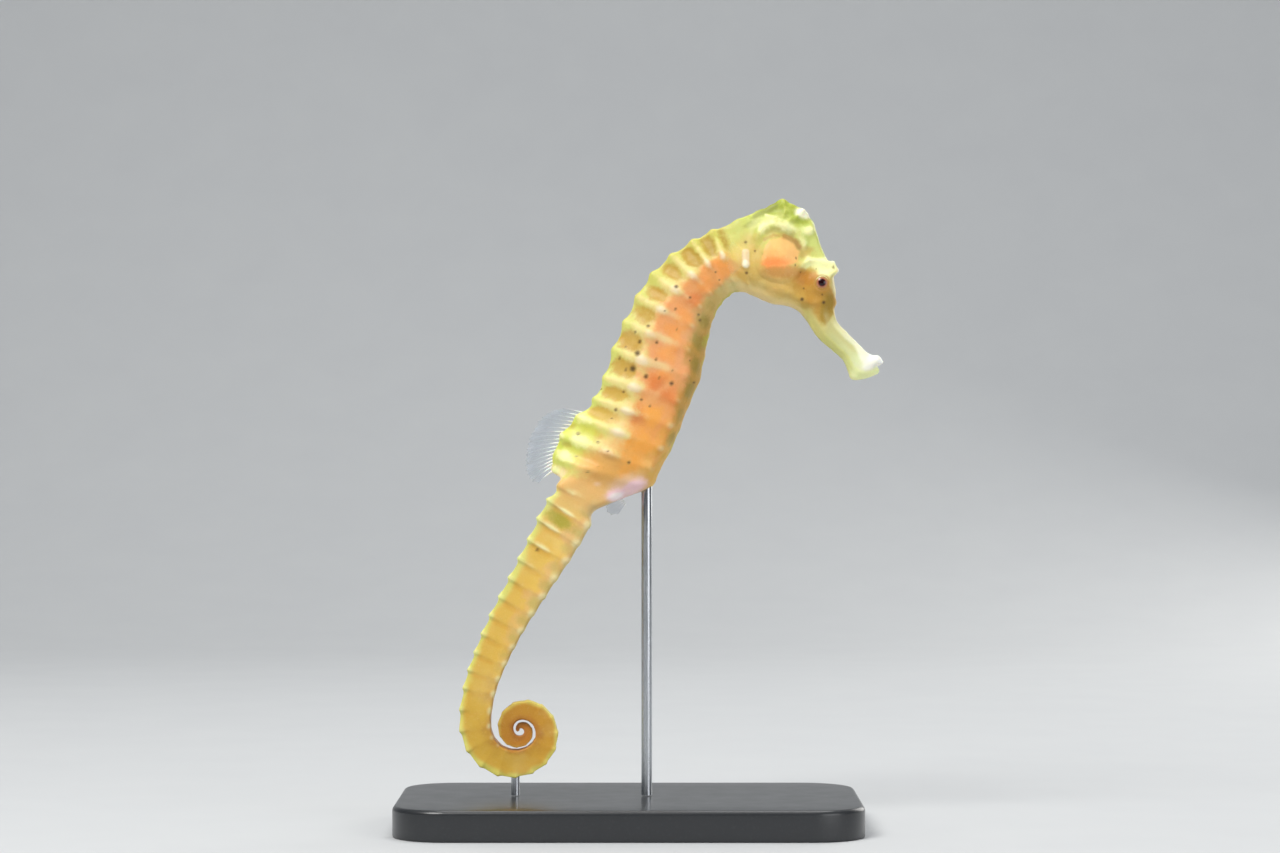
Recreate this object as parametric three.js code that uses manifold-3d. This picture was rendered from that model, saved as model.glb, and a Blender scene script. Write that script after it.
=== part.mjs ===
// Adult yellow seahorse, life size, hanging in a swimming pose with its tail rolled up,
// held on a plain display stand.
// Millimetres. +X is the way the head faces, +Y its left side, +Z up.
// The origin is the centre of the stand's underside. The animal's median plane is y = 0.
//
// The body is one long tube laid along numbered stations: 0 is the lips, 12 the shoulder
// girdle, 12 to 24 the trunk rings and 24 onwards the tail rings, one ring at each whole number.
// At each station a flat cross-section stands on the line from the belly outline to the back outline.
import * as THREE from "three";
import { mergeVertices } from "three/addons/utils/BufferGeometryUtils.js";
import Module from "manifold-3d";

// ---------------------------------------------------------------- driving dimensions
const PARTING = 0.14; // gap between neighbouring lengths of the body
const RING_FIRST = 12, TRUNK_END = 25, TAIL_END = 61.5; // stations

// Named stations of head and trunk: [name, station, back x, back z, belly x, belly z]
const PROFILE = [
  ["lips", 0, 32.76, 60.75, 32.11, 58.99],
  ["lips_rim", 0.5, 32.44, 61.27, 31.07, 58.41],
  ["snout_flange", 1.1, 31.72, 61.33, 29.64, 58.21],
  ["snout_neck", 1.8, 30.94, 61.72, 28.67, 58.99],
  ["snout_front", 2.6, 30.14, 62.5, 27.92, 60.45],
  ["snout_middle", 4.2, 28.42, 64.24, 26.2, 62.08],
  ["snout_back", 5.6, 27.05, 65.8, 24.36, 63.8],
  ["snout_root", 6.6, 26.78, 67.18, 23.07, 65.75],
  ["nose", 7.4, 26.91, 68.48, 22.1, 66.92],
  ["eye", 8.4, 26.85, 70.3, 21.06, 67.51],
  ["brow", 9.3, 26.26, 72.64, 19.89, 67.77],
  ["forehead", 10, 25.09, 75.37, 18.72, 67.9],
  ["crown_front", 10.5, 24.12, 78.1, 17.94, 68.16],
  ["crown_step", 10.85, 22.95, 79.99, 17.29, 68.42],
  ["crown_top", 11.2, 20.02, 81.55, 16.64, 68.74],
  ["crown_back", 11.5, 17.55, 80.51, 16.25, 68.87],
  ["shoulder", 12, 14.17, 79.14, 15.73, 69.07],
  ["ring_2", 13, 10.66, 77.65, 14.17, 69.39],
  ["ring_3", 14, 8.06, 76.35, 13.13, 68.81],
  ["ring_5", 16, 2.73, 71.99, 11.31, 66.14],
  ["ring_7", 18, -0.91, 65.62, 10.08, 60.94],
  ["ring_8", 19, -2.34, 62.11, 9.36, 57.95],
  ["ring_9", 20, -3.51, 58.47, 8.0, 54.83],
  ["ring_11", 22, -6.11, 53.14, 5.46, 48.72],
  ["belly", 23, -7.28, 50.28, 4.03, 46.19],
  ["vent_front", 24, -8.32, 47.55, 2.73, 44.04],
  ["vent", 24.7, -9.04, 45.6, -1.04, 42.4],
  ["tail_root", 25, -9.43, 44.56, -3.3, 41.55],
];
// Straight run of the tail: [station, centre x, centre z, depth]
const TAIL_RUN = [
  [26, -7.85, 40.88, 6.58], [28, -10.54, 36.07, 5.95], [30, -13.33, 31.26, 5.22],
  [32, -15.95, 26.6, 4.78], [34, -18.0, 22.07, 4.46], [36, -19.44, 17.78, 4.24],
];
// The roll at the end of the tail: a spiral about one centre, given every quarter turn.
const ROLL_CENTRE = [-14.14, 12.48];
const ROLL_RADIUS = [5.72, 4.11, 3.46, 2.68, 1.84, 1.36, 1.06, 0.7, 0.2];
const ROLL_DEPTH = [4.03, 3.51, 2.92, 2.46, 1.98, 1.5, 1.12, 0.78, 0.38];
const ROLL_STATION = [38.2, 4.337, -0.178]; // station = a + b t + c t^2, t in quarter turns
// Half width of the body, the same left and right: [station, half width]
const HALF_WIDTH = [
  [0, 0.85], [0.5, 1.25], [1.1, 1.45], [1.8, 1.33], [2.6, 1.24], [4.2, 1.3], [5.6, 1.46], [6.6, 1.68],
  [7.4, 1.98], [8.4, 2.25], [9.3, 2.45], [10, 2.78], [10.6, 3.05], [11.2, 3.1], [11.6, 2.95], [12, 2.72],
  [13, 2.76], [14, 3.0], [16, 3.55], [18, 4.1], [20, 4.55], [22, 4.75], [23, 4.55], [24, 4.05], [24.7, 3.42],
  [25, 3.1], [26, 2.98], [28, 2.72], [30, 2.42], [32, 2.26], [34, 2.16], [36, 2.06], [38.2, 1.95],
];
const TAIL_WIDTH_TO_DEPTH = 0.482; // half width over depth in the roll

// Where the ridges lie on a section: height q from -1 (belly outline) to +1 (back outline),
// and y as a share of the half width. Rows: [station, value].
const RIDGES = {
  back: { // median line between the two upper ridges
    q: [[0, 1], [9.3, 1], [10.3, 0.99], [10.9, 0.93], [11.25, 0.9], [11.6, 0.95], [12, 0.95], [14, 0.94], [21, 0.94], [23.5, 0.96], [24.8, 0.93], [26, 0.93], [61.5, 0.93]],
    y: [[0, 0], [61.5, 0]],
  },
  upper: { // superior trunk ridge; on the head the shoulder of the crown
    q: [[0, 0.86], [6.6, 0.84], [8.4, 0.86], [9.3, 0.92], [10.3, 0.95], [10.9, 1], [11.5, 1], [12, 1], [24.6, 1], [25, 0.96], [61.5, 0.96]],
    y: [[0, 0.55], [6.6, 0.52], [8.4, 0.6], [9.3, 0.66], [10.1, 0.44], [10.9, 0.42], [11.5, 0.36], [12, 0.42], [14, 0.45], [20, 0.42], [22, 0.36], [24.5, 0.3], [25, 0.5], [61.5, 0.5]],
  },
  side: { // lateral trunk ridge, which runs on as the upper tail ridge
    q: [[0, 0], [8.4, 0.1], [9.3, 0.05], [10, -0.15], [11.2, -0.3], [12, -0.24], [13, 0.14], [15, 0.12], [16, 0.21], [18, 0.36], [20, 0.27], [22, 0.15], [23, 0.16], [24, 0.5], [25, 1], [61.5, 1]],
    y: [[0, 1], [61.5, 1]],
  },
  lower: { // inferior ridge
    q: [[0, -0.78], [6.6, -0.72], [9, -0.74], [11, -0.8], [12, -0.7], [14, -0.55], [17, -0.5], [19, -0.68], [21, -0.78], [23.5, -0.82], [24.4, -0.88], [25, -1], [61.5, -1]],
    y: [[0, 0.6], [6.6, 0.62], [9, 0.66], [11, 0.6], [12, 0.62], [14, 0.66], [17, 0.7], [20, 0.68], [23, 0.66], [24.4, 0.72], [25, 0.93], [61.5, 0.93]],
  },
  keel: { // median line of the belly
    q: [[0, -1], [24, -1], [25, -0.95], [61.5, -0.95]],
    y: [[0, 0], [61.5, 0]],
  },
};
// How far each strip between ridges bulges out (+) or is dished (-), as a share of its width.
const BULGE = {
  top: [[0, 0.14], [9.3, 0.1], [10.4, 0], [11, -0.02], [12, -0.03], [24.6, 0.02], [25, 0], [61.5, 0]],
  shoulder: [[0, 0.16], [8.4, 0.12], [9.6, 0.04], [10.6, -0.02], [11.4, 0.03], [12, 0], [14, -0.03], [24.6, -0.03], [25, 0], [61.5, 0]],
  flank: [[0, 0.16], [9.3, 0.12], [11.4, 0.12], [12.4, 0.04], [14, -0.01], [24, -0.01], [25, -0.04], [61.5, -0.04]],
  under: [[0, 0.16], [11, 0.14], [13, 0.08], [24, 0.04], [25, 0], [61.5, 0]],
};
const RING_RELIEF = [[11.6, 0], [12, 0.24], [24, 0.3], [26, 0.3], [30, 0.27], [36, 0.22], [44, 0.16], [52, 0.1], [61.5, 0.02]];
const DORSAL_HUMP = { from: 21.3, to: 24.72, height: [[21.3, 0], [22, 0.85], [23, 1.9], [24, 2.1], [24.5, 2.0], [24.72, 1.5]] };

const EYE = { radius: 1.3, x: 24.96, y: 1.72, z: 70.62, clearance: 0.1 };
const CROWN_CUT = { x1: 15.6, z1: 79.2, x2: 25.4, z2: 77.2 }; // plane under the coronet
const BROW_SPINE = { x: 27.2, z: 72.68, y: 1.15, length: 2.1, radius: 0.82 };
const CROWN_KNOBS = [[23.75, 0, 78.35, 0.62], [22.35, 1.15, 79.7, 0.62], [19.7, 1.05, 81.0, 0.6]]; // x, y, z, radius
const FIN_THICKNESS = 0.5;
const DORSAL_FIN = { from: 21.75, to: 24.68, rays: 17, reach: 4.2, lift: 0.16 };
const PECTORAL_FIN = { x: 14.75, z: 73.9, y: 2.86, height: 3.4, length: 2.6, splay: 22, tilt: 9 };
const ANAL_FIN = { x: -0.75, z: 42.25, length: 2.6, width: 1.15, angle: 212, lift: 0.16 };

const STAND = { length: 60, width: 36, thickness: 4, corner: 7, bevel: 0.5 };
const ROD_BELLY = { x: 2.3, top: 45.9, radius: 0.7 };
const ROD_TAIL = { x: -14.75, top: 7.55, radius: 0.55 };
const ROD_CLEARANCE = 0.1;

// ---------------------------------------------------------------- curves
// Cubic through [u, value] rows; "tight" never overshoots between rows.
function curve(rows, tight = true) {
  const x = rows.map((r) => r[0]), y = rows.map((r) => r[1]), n = x.length, m = new Array(n).fill(0);
  const h = (i) => x[i + 1] - x[i], d = (i) => (y[i + 1] - y[i]) / h(i);
  for (let i = 1; i < n - 1; i++) {
    if (!tight) m[i] = (d(i - 1) * h(i) + d(i) * h(i - 1)) / (h(i - 1) + h(i));
    else if (d(i - 1) * d(i) > 0) {
      const a = 2 * h(i) + h(i - 1), b = h(i) + 2 * h(i - 1);
      m[i] = (a + b) / (a / d(i - 1) + b / d(i));
    }
  }
  if (n > 1) (m[0] = d(0)), (m[n - 1] = d(n - 2));
  return (u) => {
    const t = Math.min(Math.max(u, x[0]), x[n - 1]);
    let i = 0;
    while (i < n - 2 && t > x[i + 1]) i++;
    const s = (t - x[i]) / h(i), s2 = s * s, s3 = s2 * s;
    return (2 * s3 - 3 * s2 + 1) * y[i] + (s3 - 2 * s2 + s) * h(i) * m[i] + (3 * s2 - 2 * s3) * y[i + 1] + (s3 - s2) * h(i) * m[i + 1];
  };
}
const smooth = (a, b, t) => {
  const s = Math.min(Math.max((t - a) / (b - a), 0), 1);
  return s * s * (3 - 2 * s);
};

// Back and belly outlines along the whole body.
const outline = (() => {
  const rows = PROFILE.map(([, u, bx, bz, vx, vz]) => [u, bx, bz, vx, vz]);
  const radius = curve(ROLL_RADIUS.map((r, t) => [t, r]), false);
  const depth = curve(ROLL_DEPTH.map((r, t) => [t, r]));
  const tail = TAIL_RUN.map((r) => [...r]);
  for (let t = 0; t <= ROLL_RADIUS.length - 1; t += 0.25) {
    const a = Math.PI + (t * Math.PI) / 2, r = radius(t);
    const u = ROLL_STATION[0] + ROLL_STATION[1] * t + ROLL_STATION[2] * t * t;
    tail.push([u, ROLL_CENTRE[0] + r * Math.cos(a), ROLL_CENTRE[1] + r * Math.sin(a), depth(t)]);
  }
  const root = PROFILE[PROFILE.length - 1];
  const line = [[root[1], (root[2] + root[4]) / 2, (root[3] + root[5]) / 2], ...tail];
  const cx = curve(line.map((r) => [r[0], r[1]]), false), cz = curve(line.map((r) => [r[0], r[2]]), false);
  for (const [u, x, z, w] of tail) {
    const e = 0.02, end = line[line.length - 1][0];
    const dx = cx(Math.min(u + e, end)) - cx(u - e), dz = cz(Math.min(u + e, end)) - cz(u - e);
    const l = Math.hypot(dx, dz), nx = (dz / l) * (w / 2), nz = (-dx / l) * (w / 2);
    rows.push([u, x + nx, z + nz, x - nx, z - nz]);
  }
  const pick = (k) => curve(rows.map((r) => [r[0], r[k]]), false);
  const [bx, bz, vx, vz] = [1, 2, 3, 4].map(pick);
  return (u) => ({ back: [bx(u), bz(u)], belly: [vx(u), vz(u)] });
})();

const rollDepth = curve(ROLL_DEPTH.map((d, t) => [ROLL_STATION[0] + ROLL_STATION[1] * t + ROLL_STATION[2] * t * t, d]));
const headWidth = curve(HALF_WIDTH);
const halfWidth = (u) => (u < ROLL_STATION[0] ? headWidth(u) : rollDepth(u) * TAIL_WIDTH_TO_DEPTH);
const ridge = Object.fromEntries(Object.entries(RIDGES).map(([k, v]) => [k, { q: curve(v.q), y: curve(v.y) }]));
const bulge = Object.fromEntries(Object.entries(BULGE).map(([k, v]) => [k, curve(v)]));
const relief = curve(RING_RELIEF), hump = curve(DORSAL_HUMP.height);

// 0 in the valley between two rings, 1 on a ring: an even rib on the trunk,
// on the tail a step that rises slowly towards the ring and drops just after it.
function ringHeight(u) {
  if (u < RING_FIRST - 0.4) return 1;
  const p = u - Math.floor(u);
  const rib = Math.pow(0.5 + 0.5 * Math.cos(2 * Math.PI * p), 1.3);
  const step = p < 0.22 ? 1 - smooth(0, 0.22, p) : Math.pow((p - 0.22) / 0.78, 1.6);
  const t = smooth(TRUNK_END - 1, TRUNK_END + 1, u);
  return rib * (1 - t) + step * t;
}

// ---------------------------------------------------------------- one cross-section
// Returns a closed loop of points [x, y, z]; `parts` are the segments in each strip of one side.
function section(u, parts) {
  const { back, belly } = outline(u);
  const up = [back[0] - belly[0], back[1] - belly[1]], depth = Math.hypot(...up);
  up[0] /= depth; up[1] /= depth;
  const w = halfWidth(u), sunk = (1 - ringHeight(u)) * relief(u);
  const onTail = smooth(TRUNK_END - 1, TRUNK_END, u), onHump = u > DORSAL_HUMP.from && u < DORSAL_HUMP.to ? 0.6 : 1;
  const share = { back: 0.9 * onHump, upper: onHump, side: 1.1, lower: 0.75 - 0.35 * onTail, keel: 0.4 };
  const lift = u > DORSAL_HUMP.from && u < DORSAL_HUMP.to ? hump(u) : 0;
  const corner = (name) => {
    const q = ridge[name].q(u), y = ridge[name].y(u) * w, in_ = sunk * share[name];
    let s = ((q + 1) / 2) * depth, yy = y;
    const sq = s - depth / 2, len = Math.hypot(sq, yy) || 1; // pull towards the middle of the section
    s -= (sq / len) * in_; yy -= (yy / len) * in_;
    if (name === "back" || name === "upper") s += lift * (name === "back" ? 0.92 : 1);
    return [s, Math.max(yy, 0)];
  };
  const names = ["back", "upper", "side", "lower", "keel"], strips = ["top", "shoulder", "flank", "under"];
  const c = names.map(corner), half = [];
  for (let k = 0; k < 4; k++) {
    const [a, b] = [c[k], c[k + 1]], n = parts[k], g = bulge[strips[k]](u);
    const dx = b[0] - a[0], dy = b[1] - a[1];
    for (let i = 0; i < n; i++) {
      const t = i / n, out = 4 * t * (1 - t) * g;
      half.push([a[0] + dx * t + dy * out, Math.max(a[1] + dy * t - dx * out, 0)]);
    }
  }
  half.push(c[4]);
  const at = ([s, y]) => [belly[0] + up[0] * s, y, belly[1] + up[1] * s];
  const left = half.map(at), right = half.slice(1, -1).reverse().map(([s, y]) => at([s, -y]));
  return [...left, ...right];
}

// ---------------------------------------------------------------- solids
const wasm = await Module();
wasm.setup();

function meshOf(points, faces) {
  const g = new THREE.BufferGeometry();
  g.setAttribute("position", new THREE.Float32BufferAttribute(points.flat(), 3));
  g.setIndex(faces.flat());
  return g;
}
// A closed skin over a row of loops, each end closed by a fan; `dent` pulls the first fan's centre in.
function loft(loops, dent = 0) {
  const n = loops[0].length, points = loops.flat(), faces = [];
  const mid = (l) => [0, 1, 2].map((k) => l.reduce((s, p) => s + p[k], 0) / n);
  for (let i = 0; i + 1 < loops.length; i++)
    for (let j = 0; j < n; j++) {
      const a = i * n + j, b = i * n + ((j + 1) % n), c = a + n, d = b + n;
      faces.push([a, c, b], [b, c, d]);
    }
  const first = mid(loops[0]), next = mid(loops[1]), last = loops.length - 1;
  const d = Math.hypot(...[0, 1, 2].map((k) => next[k] - first[k])) || 1;
  points.push([0, 1, 2].map((k) => first[k] + ((next[k] - first[k]) / d) * dent), mid(loops[last]));
  for (let j = 0; j < n; j++) {
    faces.push([n * (last + 1), j, (j + 1) % n]);
    faces.push([n * (last + 1) + 1, last * n + ((j + 1) % n), last * n + j]);
  }
  return solid(meshOf(points, faces));
}
function solid(geometry) {
  const g = geometry.index ? geometry : geometry.clone();
  for (const name of ["normal", "uv"]) g.deleteAttribute(name);
  const m = mergeVertices(g, 1e-5);
  let tri = new Uint32Array(m.index.array);
  const make = () => new wasm.Manifold(new wasm.Mesh({ numProp: 3, vertProperties: new Float32Array(m.attributes.position.array), triVerts: tri }));
  let s = make();
  if (s.volume() < 0) {
    tri = tri.map((v, i) => tri[i - (i % 3) + (2 - (i % 3))]);
    s = make();
  }
  return s;
}
function geometryOf(s) {
  const m = s.getMesh(), g = new THREE.BufferGeometry();
  g.setAttribute("position", new THREE.Float32BufferAttribute(m.vertProperties, 3));
  g.setIndex(Array.from(m.triVerts));
  g.computeVertexNormals();
  return g;
}
const placed = (geometry, move) => { move(geometry); return solid(geometry); };

// Stations to lay sections on: `per` sections for each ring, the crest always among them.
function stations(from, to, per) {
  const out = [from];
  for (let k = Math.floor(from); k <= Math.ceil(to); k++)
    for (const p of per) if (k + p > from + 0.04 && k + p < to - 0.04) out.push(k + p);
  out.push(to);
  return out;
}
const stationPer = (u) => { // millimetres of body axis per station at u
  const m = (t) => { const o = outline(t); return [(o.back[0] + o.belly[0]) / 2, (o.back[1] + o.belly[1]) / 2]; };
  const [a, b] = [m(u - 0.1), m(u + 0.1)];
  return Math.hypot(a[0] - b[0], a[1] - b[1]) / 0.2;
};
function length(from, to, per, parts, dent = 0) {
  const a = from <= 0 ? from : from + PARTING / 2 / stationPer(from);
  const b = to >= TAIL_END ? to : to - PARTING / 2 / stationPer(to);
  return loft(stations(a, b, per).map((u) => section(u, parts)), dent);
}

const HEAD_PARTS = [1, 3, 4, 2], TRUNK_PARTS = [1, 3, 3, 2], TAIL_PARTS = [1, 1, 3, 2];
const HEAD_STEPS = [0, 0.25, 0.5, 0.75], TRUNK_STEPS = [0, 0.25, 0.5, 0.75], TAIL_STEPS = [0, 0.22, 0.64], TIP_STEPS = [0, 0.4];

// Head, with the eye sockets cut out and the crown parted from it.
const headWhole = length(6.6, 12, HEAD_STEPS, HEAD_PARTS);
const eyeBall = (side, extra = 0, detail = 2) =>
  placed(new THREE.IcosahedronGeometry(EYE.radius + extra, detail), (g) => g.translate(EYE.x, side * EYE.y, EYE.z));
const browSpine = (side) =>
  placed(new THREE.CylinderGeometry(BROW_SPINE.radius * 0.55, BROW_SPINE.radius, BROW_SPINE.length, 8), (g) =>
    g.rotateZ(-Math.PI / 2).translate(BROW_SPINE.x - BROW_SPINE.length / 2, side * BROW_SPINE.y, BROW_SPINE.z));
function halfSpace(gap) { // everything above the crown plane, raised by gap
  const { x1, z1, x2, z2 } = CROWN_CUT, a = Math.atan2(z2 - z1, x2 - x1);
  return placed(new THREE.BoxGeometry(20, 12, 8), (g) =>
    g.translate(0, 0, 4 + gap).rotateY(-a).translate((x1 + x2) / 2, 0, (z1 + z2) / 2));
}
let head = headWhole.add(browSpine(1)).add(browSpine(-1)).subtract(halfSpace(-PARTING / 2));
for (const side of [1, -1]) head = head.subtract(eyeBall(side, EYE.clearance));
// The crown carries five blunt knobs: one in front on the median line, then two pairs.
let coronet = headWhole.intersect(halfSpace(PARTING / 2));
for (const [x, y, z, r] of CROWN_KNOBS)
  for (const side of y ? [1, -1] : [1])
    coronet = coronet.add(placed(new THREE.IcosahedronGeometry(r, 1), (g) => g.translate(x, side * y, z)).intersect(halfSpace(PARTING / 2)));

// Display stand.
const rod = (r, extra, top) =>
  placed(new THREE.CylinderGeometry(r.radius + extra, r.radius + extra, top - STAND.thickness - PARTING + extra * 2, 16), (g) =>
    g.rotateX(Math.PI / 2).translate(r.x, 0, STAND.thickness + PARTING + (top - STAND.thickness - PARTING) / 2));
function standBase() {
  const { length: l, width: w, thickness: t, corner: r, bevel: b } = STAND, s = new THREE.Shape();
  const x = l / 2 - b, y = w / 2 - b, c = r - b;
  s.moveTo(-x + c, -y).lineTo(x - c, -y).absarc(x - c, -y + c, c, -Math.PI / 2, 0).lineTo(x, y - c).absarc(x - c, y - c, c, 0, Math.PI / 2)
    .lineTo(-x + c, y).absarc(-x + c, y - c, c, Math.PI / 2, Math.PI).lineTo(-x, -y + c).absarc(-x + c, -y + c, c, Math.PI, 1.5 * Math.PI);
  return new THREE.ExtrudeGeometry(s, { depth: t - 2 * b, bevelEnabled: true, bevelThickness: b, bevelSize: b, bevelSegments: 1, curveSegments: 5 }).translate(0, 0, b);
}

// Lengths of neck, trunk and tail.
const lengths = {
  snout: length(0, 6.6, [0.1, 0.5, 0.8], HEAD_PARTS, 0.5),
  neck: length(12, 14, TRUNK_STEPS, TRUNK_PARTS),
  trunk_upper: length(14, 18, TRUNK_STEPS, TRUNK_PARTS),
  trunk_middle: length(18, 21.5, TRUNK_STEPS, TRUNK_PARTS),
  trunk_lower: length(21.5, 24.86, [0, 0.25, 0.5, 0.7, 0.74], TRUNK_PARTS).subtract(rod(ROD_BELLY, ROD_CLEARANCE, ROD_BELLY.top)),
  tail_base: length(24.86, 29.5, TAIL_STEPS, TAIL_PARTS),
  tail_middle: length(29.5, 34.5, TAIL_STEPS, TAIL_PARTS),
  tail_lower: length(34.5, 39.5, TAIL_STEPS, TAIL_PARTS),
  tail_bend: length(39.5, 44.5, TAIL_STEPS, TAIL_PARTS).subtract(rod(ROD_TAIL, ROD_CLEARANCE, ROD_TAIL.top)),
  tail_roll_outer: length(44.5, 49.5, TAIL_STEPS, TAIL_PARTS),
  tail_roll_inner: length(49.5, 54.5, TIP_STEPS, TAIL_PARTS),
  tail_tip: length(54.5, TAIL_END, TIP_STEPS, TAIL_PARTS),
};

// ---------------------------------------------------------------- fins
// A flat fin from its base edge and outer edge, both rows of [x, z], as a plate about y = 0.
function plate(base, outer, thickness) {
  const loop = (row, y) => row.map(([x, z]) => [x, y, z]);
  const n = base.length, points = [...loop(base, thickness / 2), ...loop(outer, thickness / 2), ...loop(base, -thickness / 2), ...loop(outer, -thickness / 2)], faces = [];
  const quad = (a, b, c, d) => faces.push([a, b, c], [a, c, d]);
  for (let i = 0; i + 1 < n; i++) {
    quad(i, i + 1, n + i + 1, n + i);
    quad(2 * n + i + 1, 2 * n + i, 3 * n + i, 3 * n + i + 1);
    quad(i + 1, i, 2 * n + i, 2 * n + i + 1);
    quad(n + i, n + i + 1, 3 * n + i + 1, 3 * n + i);
  }
  quad(0, n, 3 * n, 2 * n);
  quad(2 * n - 1, n - 1, 3 * n - 1, 4 * n - 1);
  return solid(meshOf(points, faces));
}
function dorsalFin() {
  const f = DORSAL_FIN, base = [], outer = [], n = f.rays * 2;
  const fan = curve([[0, 166], [0.35, 176], [0.75, 197], [1, 214]]), reach = curve([[0, 0.55], [0.1, 0.86], [0.35, 1], [0.7, 0.92], [0.92, 0.68], [1, 0.45]]);
  for (let i = 0; i <= n; i++) {
    const t = i / n, u = f.from + (f.to - f.from) * t, { back, belly } = outline(u);
    const d = Math.hypot(back[0] - belly[0], back[1] - belly[1]), ux = (back[0] - belly[0]) / d, uz = (back[1] - belly[1]) / d;
    const foot = hump(Math.min(u, DORSAL_HUMP.to)) + f.lift, a = (fan(t) * Math.PI) / 180, r = f.reach * reach(t);
    base.push([back[0] + ux * foot, back[1] + uz * foot]);
    outer.push([back[0] + ux * foot + r * Math.cos(a), back[1] + uz * foot + r * Math.sin(a)]);
  }
  return plate(base, outer, FIN_THICKNESS);
}
function fan(length, width, thickness, steps) { // a small rounded fan standing on the origin, spreading along +X
  const base = [], outer = [];
  for (let i = 0; i <= steps; i++) {
    const t = i / steps - 0.5, a = t * 1.5, r = length * (1 - 1.5 * t * t * t * t * 4);
    base.push([0, t * width * 0.7]);
    outer.push([r * Math.cos(a), t * width * 0.7 + r * Math.sin(a)]);
  }
  return plate(base, outer, thickness);
}
const turned = (s, m) => s.transform(Array.from(m.elements));
const M = (x, y, z, ...turns) => turns.reduce((m, [axis, deg]) => m.multiply(new THREE.Matrix4()["makeRotation" + axis]((deg * Math.PI) / 180)), new THREE.Matrix4().makeTranslation(x, y, z));
function pectoralFin(side) { // stands behind the gill cover and sweeps back and outwards
  const f = PECTORAL_FIN, m = M(f.x, side * f.y, f.z, ["Z", 180 - side * f.splay], ["Y", f.tilt]);
  const blade = turned(fan(f.length, f.height, FIN_THICKNESS, 10), m);
  return blade.subtract(wide(headWhole)).subtract(wide(lengths.neck));
}
// A body length swollen by the parting gap, to keep a fin's root clear of it.
function wide(s) {
  let out = s;
  for (const [x, y, z] of [[0, PARTING, 0], [0, -PARTING, 0], [0, 0, -PARTING], [-PARTING, 0, 0]]) out = out.add(s.translate([x, y, z]));
  return out;
}
const analFin = turned(fan(ANAL_FIN.length, ANAL_FIN.width, FIN_THICKNESS, 8), M(ANAL_FIN.x + Math.cos((ANAL_FIN.angle * Math.PI) / 180) * ANAL_FIN.lift, 0, ANAL_FIN.z + Math.sin((ANAL_FIN.angle * Math.PI) / 180) * ANAL_FIN.lift, ["Y", -ANAL_FIN.angle]))
  .subtract(wide(lengths.trunk_lower)).subtract(wide(lengths.tail_base));

// ---------------------------------------------------------------- the model
const look = (color, roughness, metalness = 0, more = {}) => new THREE.MeshStandardMaterial({ color, roughness, metalness, ...more });
const LOOKS = {
  skin: look("#e3b24a", 0.5), snout: look("#e6dc8c", 0.45), crown: look("#cfcf5e", 0.5), tail: look("#e8b23e", 0.5),
  eye: look("#2a1016", 0.15), fin: look("#c9d2d6", 0.4, 0, { transparent: true, opacity: 0.5 }),
  base: look("#23262a", 0.45), steel: look("#b9bcc0", 0.3, 1),
};
const group = new THREE.Group();
const piece = (name, s, material) => {
  const mesh = new THREE.Mesh(s instanceof THREE.BufferGeometry ? s : geometryOf(s), material);
  mesh.name = name;
  group.add(mesh);
};
piece("snout", lengths.snout, LOOKS.snout);
piece("head", head, LOOKS.skin);
piece("coronet", coronet, LOOKS.crown);
piece("eye_left", eyeBall(1), LOOKS.eye);
piece("eye_right", eyeBall(-1), LOOKS.eye);
for (const [name, s] of Object.entries(lengths))
  if (name !== "snout") piece(name, s, name.startsWith("tail") ? LOOKS.tail : LOOKS.skin);
piece("dorsal_fin", dorsalFin(), LOOKS.fin);
piece("pectoral_fin_left", pectoralFin(1), LOOKS.fin);
piece("pectoral_fin_right", pectoralFin(-1), LOOKS.fin);
piece("anal_fin", analFin, LOOKS.fin);
piece("stand_base", standBase(), LOOKS.base);
piece("stand_rod_belly", rod(ROD_BELLY, 0, ROD_BELLY.top), LOOKS.steel);
piece("stand_rod_tail", rod(ROD_TAIL, 0, ROD_TAIL.top), LOOKS.steel);

export default group;
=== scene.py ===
# Looks of the seahorse: one skin over every length of the body, eyes, fins, the stand's finish, studio and camera.
import math
import bpy
import numpy as np
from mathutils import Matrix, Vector, noise


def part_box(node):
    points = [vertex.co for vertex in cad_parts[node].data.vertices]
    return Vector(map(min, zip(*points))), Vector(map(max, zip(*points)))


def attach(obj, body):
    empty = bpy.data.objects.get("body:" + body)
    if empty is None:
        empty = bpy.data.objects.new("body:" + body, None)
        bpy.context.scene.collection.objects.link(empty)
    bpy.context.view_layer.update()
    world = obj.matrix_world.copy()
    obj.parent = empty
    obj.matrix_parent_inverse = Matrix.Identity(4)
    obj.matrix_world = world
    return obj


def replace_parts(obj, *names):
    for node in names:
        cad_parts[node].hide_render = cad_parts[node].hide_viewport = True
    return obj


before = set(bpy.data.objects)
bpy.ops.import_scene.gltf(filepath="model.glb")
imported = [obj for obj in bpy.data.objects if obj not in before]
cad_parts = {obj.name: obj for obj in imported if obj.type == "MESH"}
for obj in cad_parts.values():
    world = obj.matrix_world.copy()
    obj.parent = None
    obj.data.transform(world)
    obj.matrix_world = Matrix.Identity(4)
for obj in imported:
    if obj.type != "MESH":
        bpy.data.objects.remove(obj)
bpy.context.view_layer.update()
MM = 0.001

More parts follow.
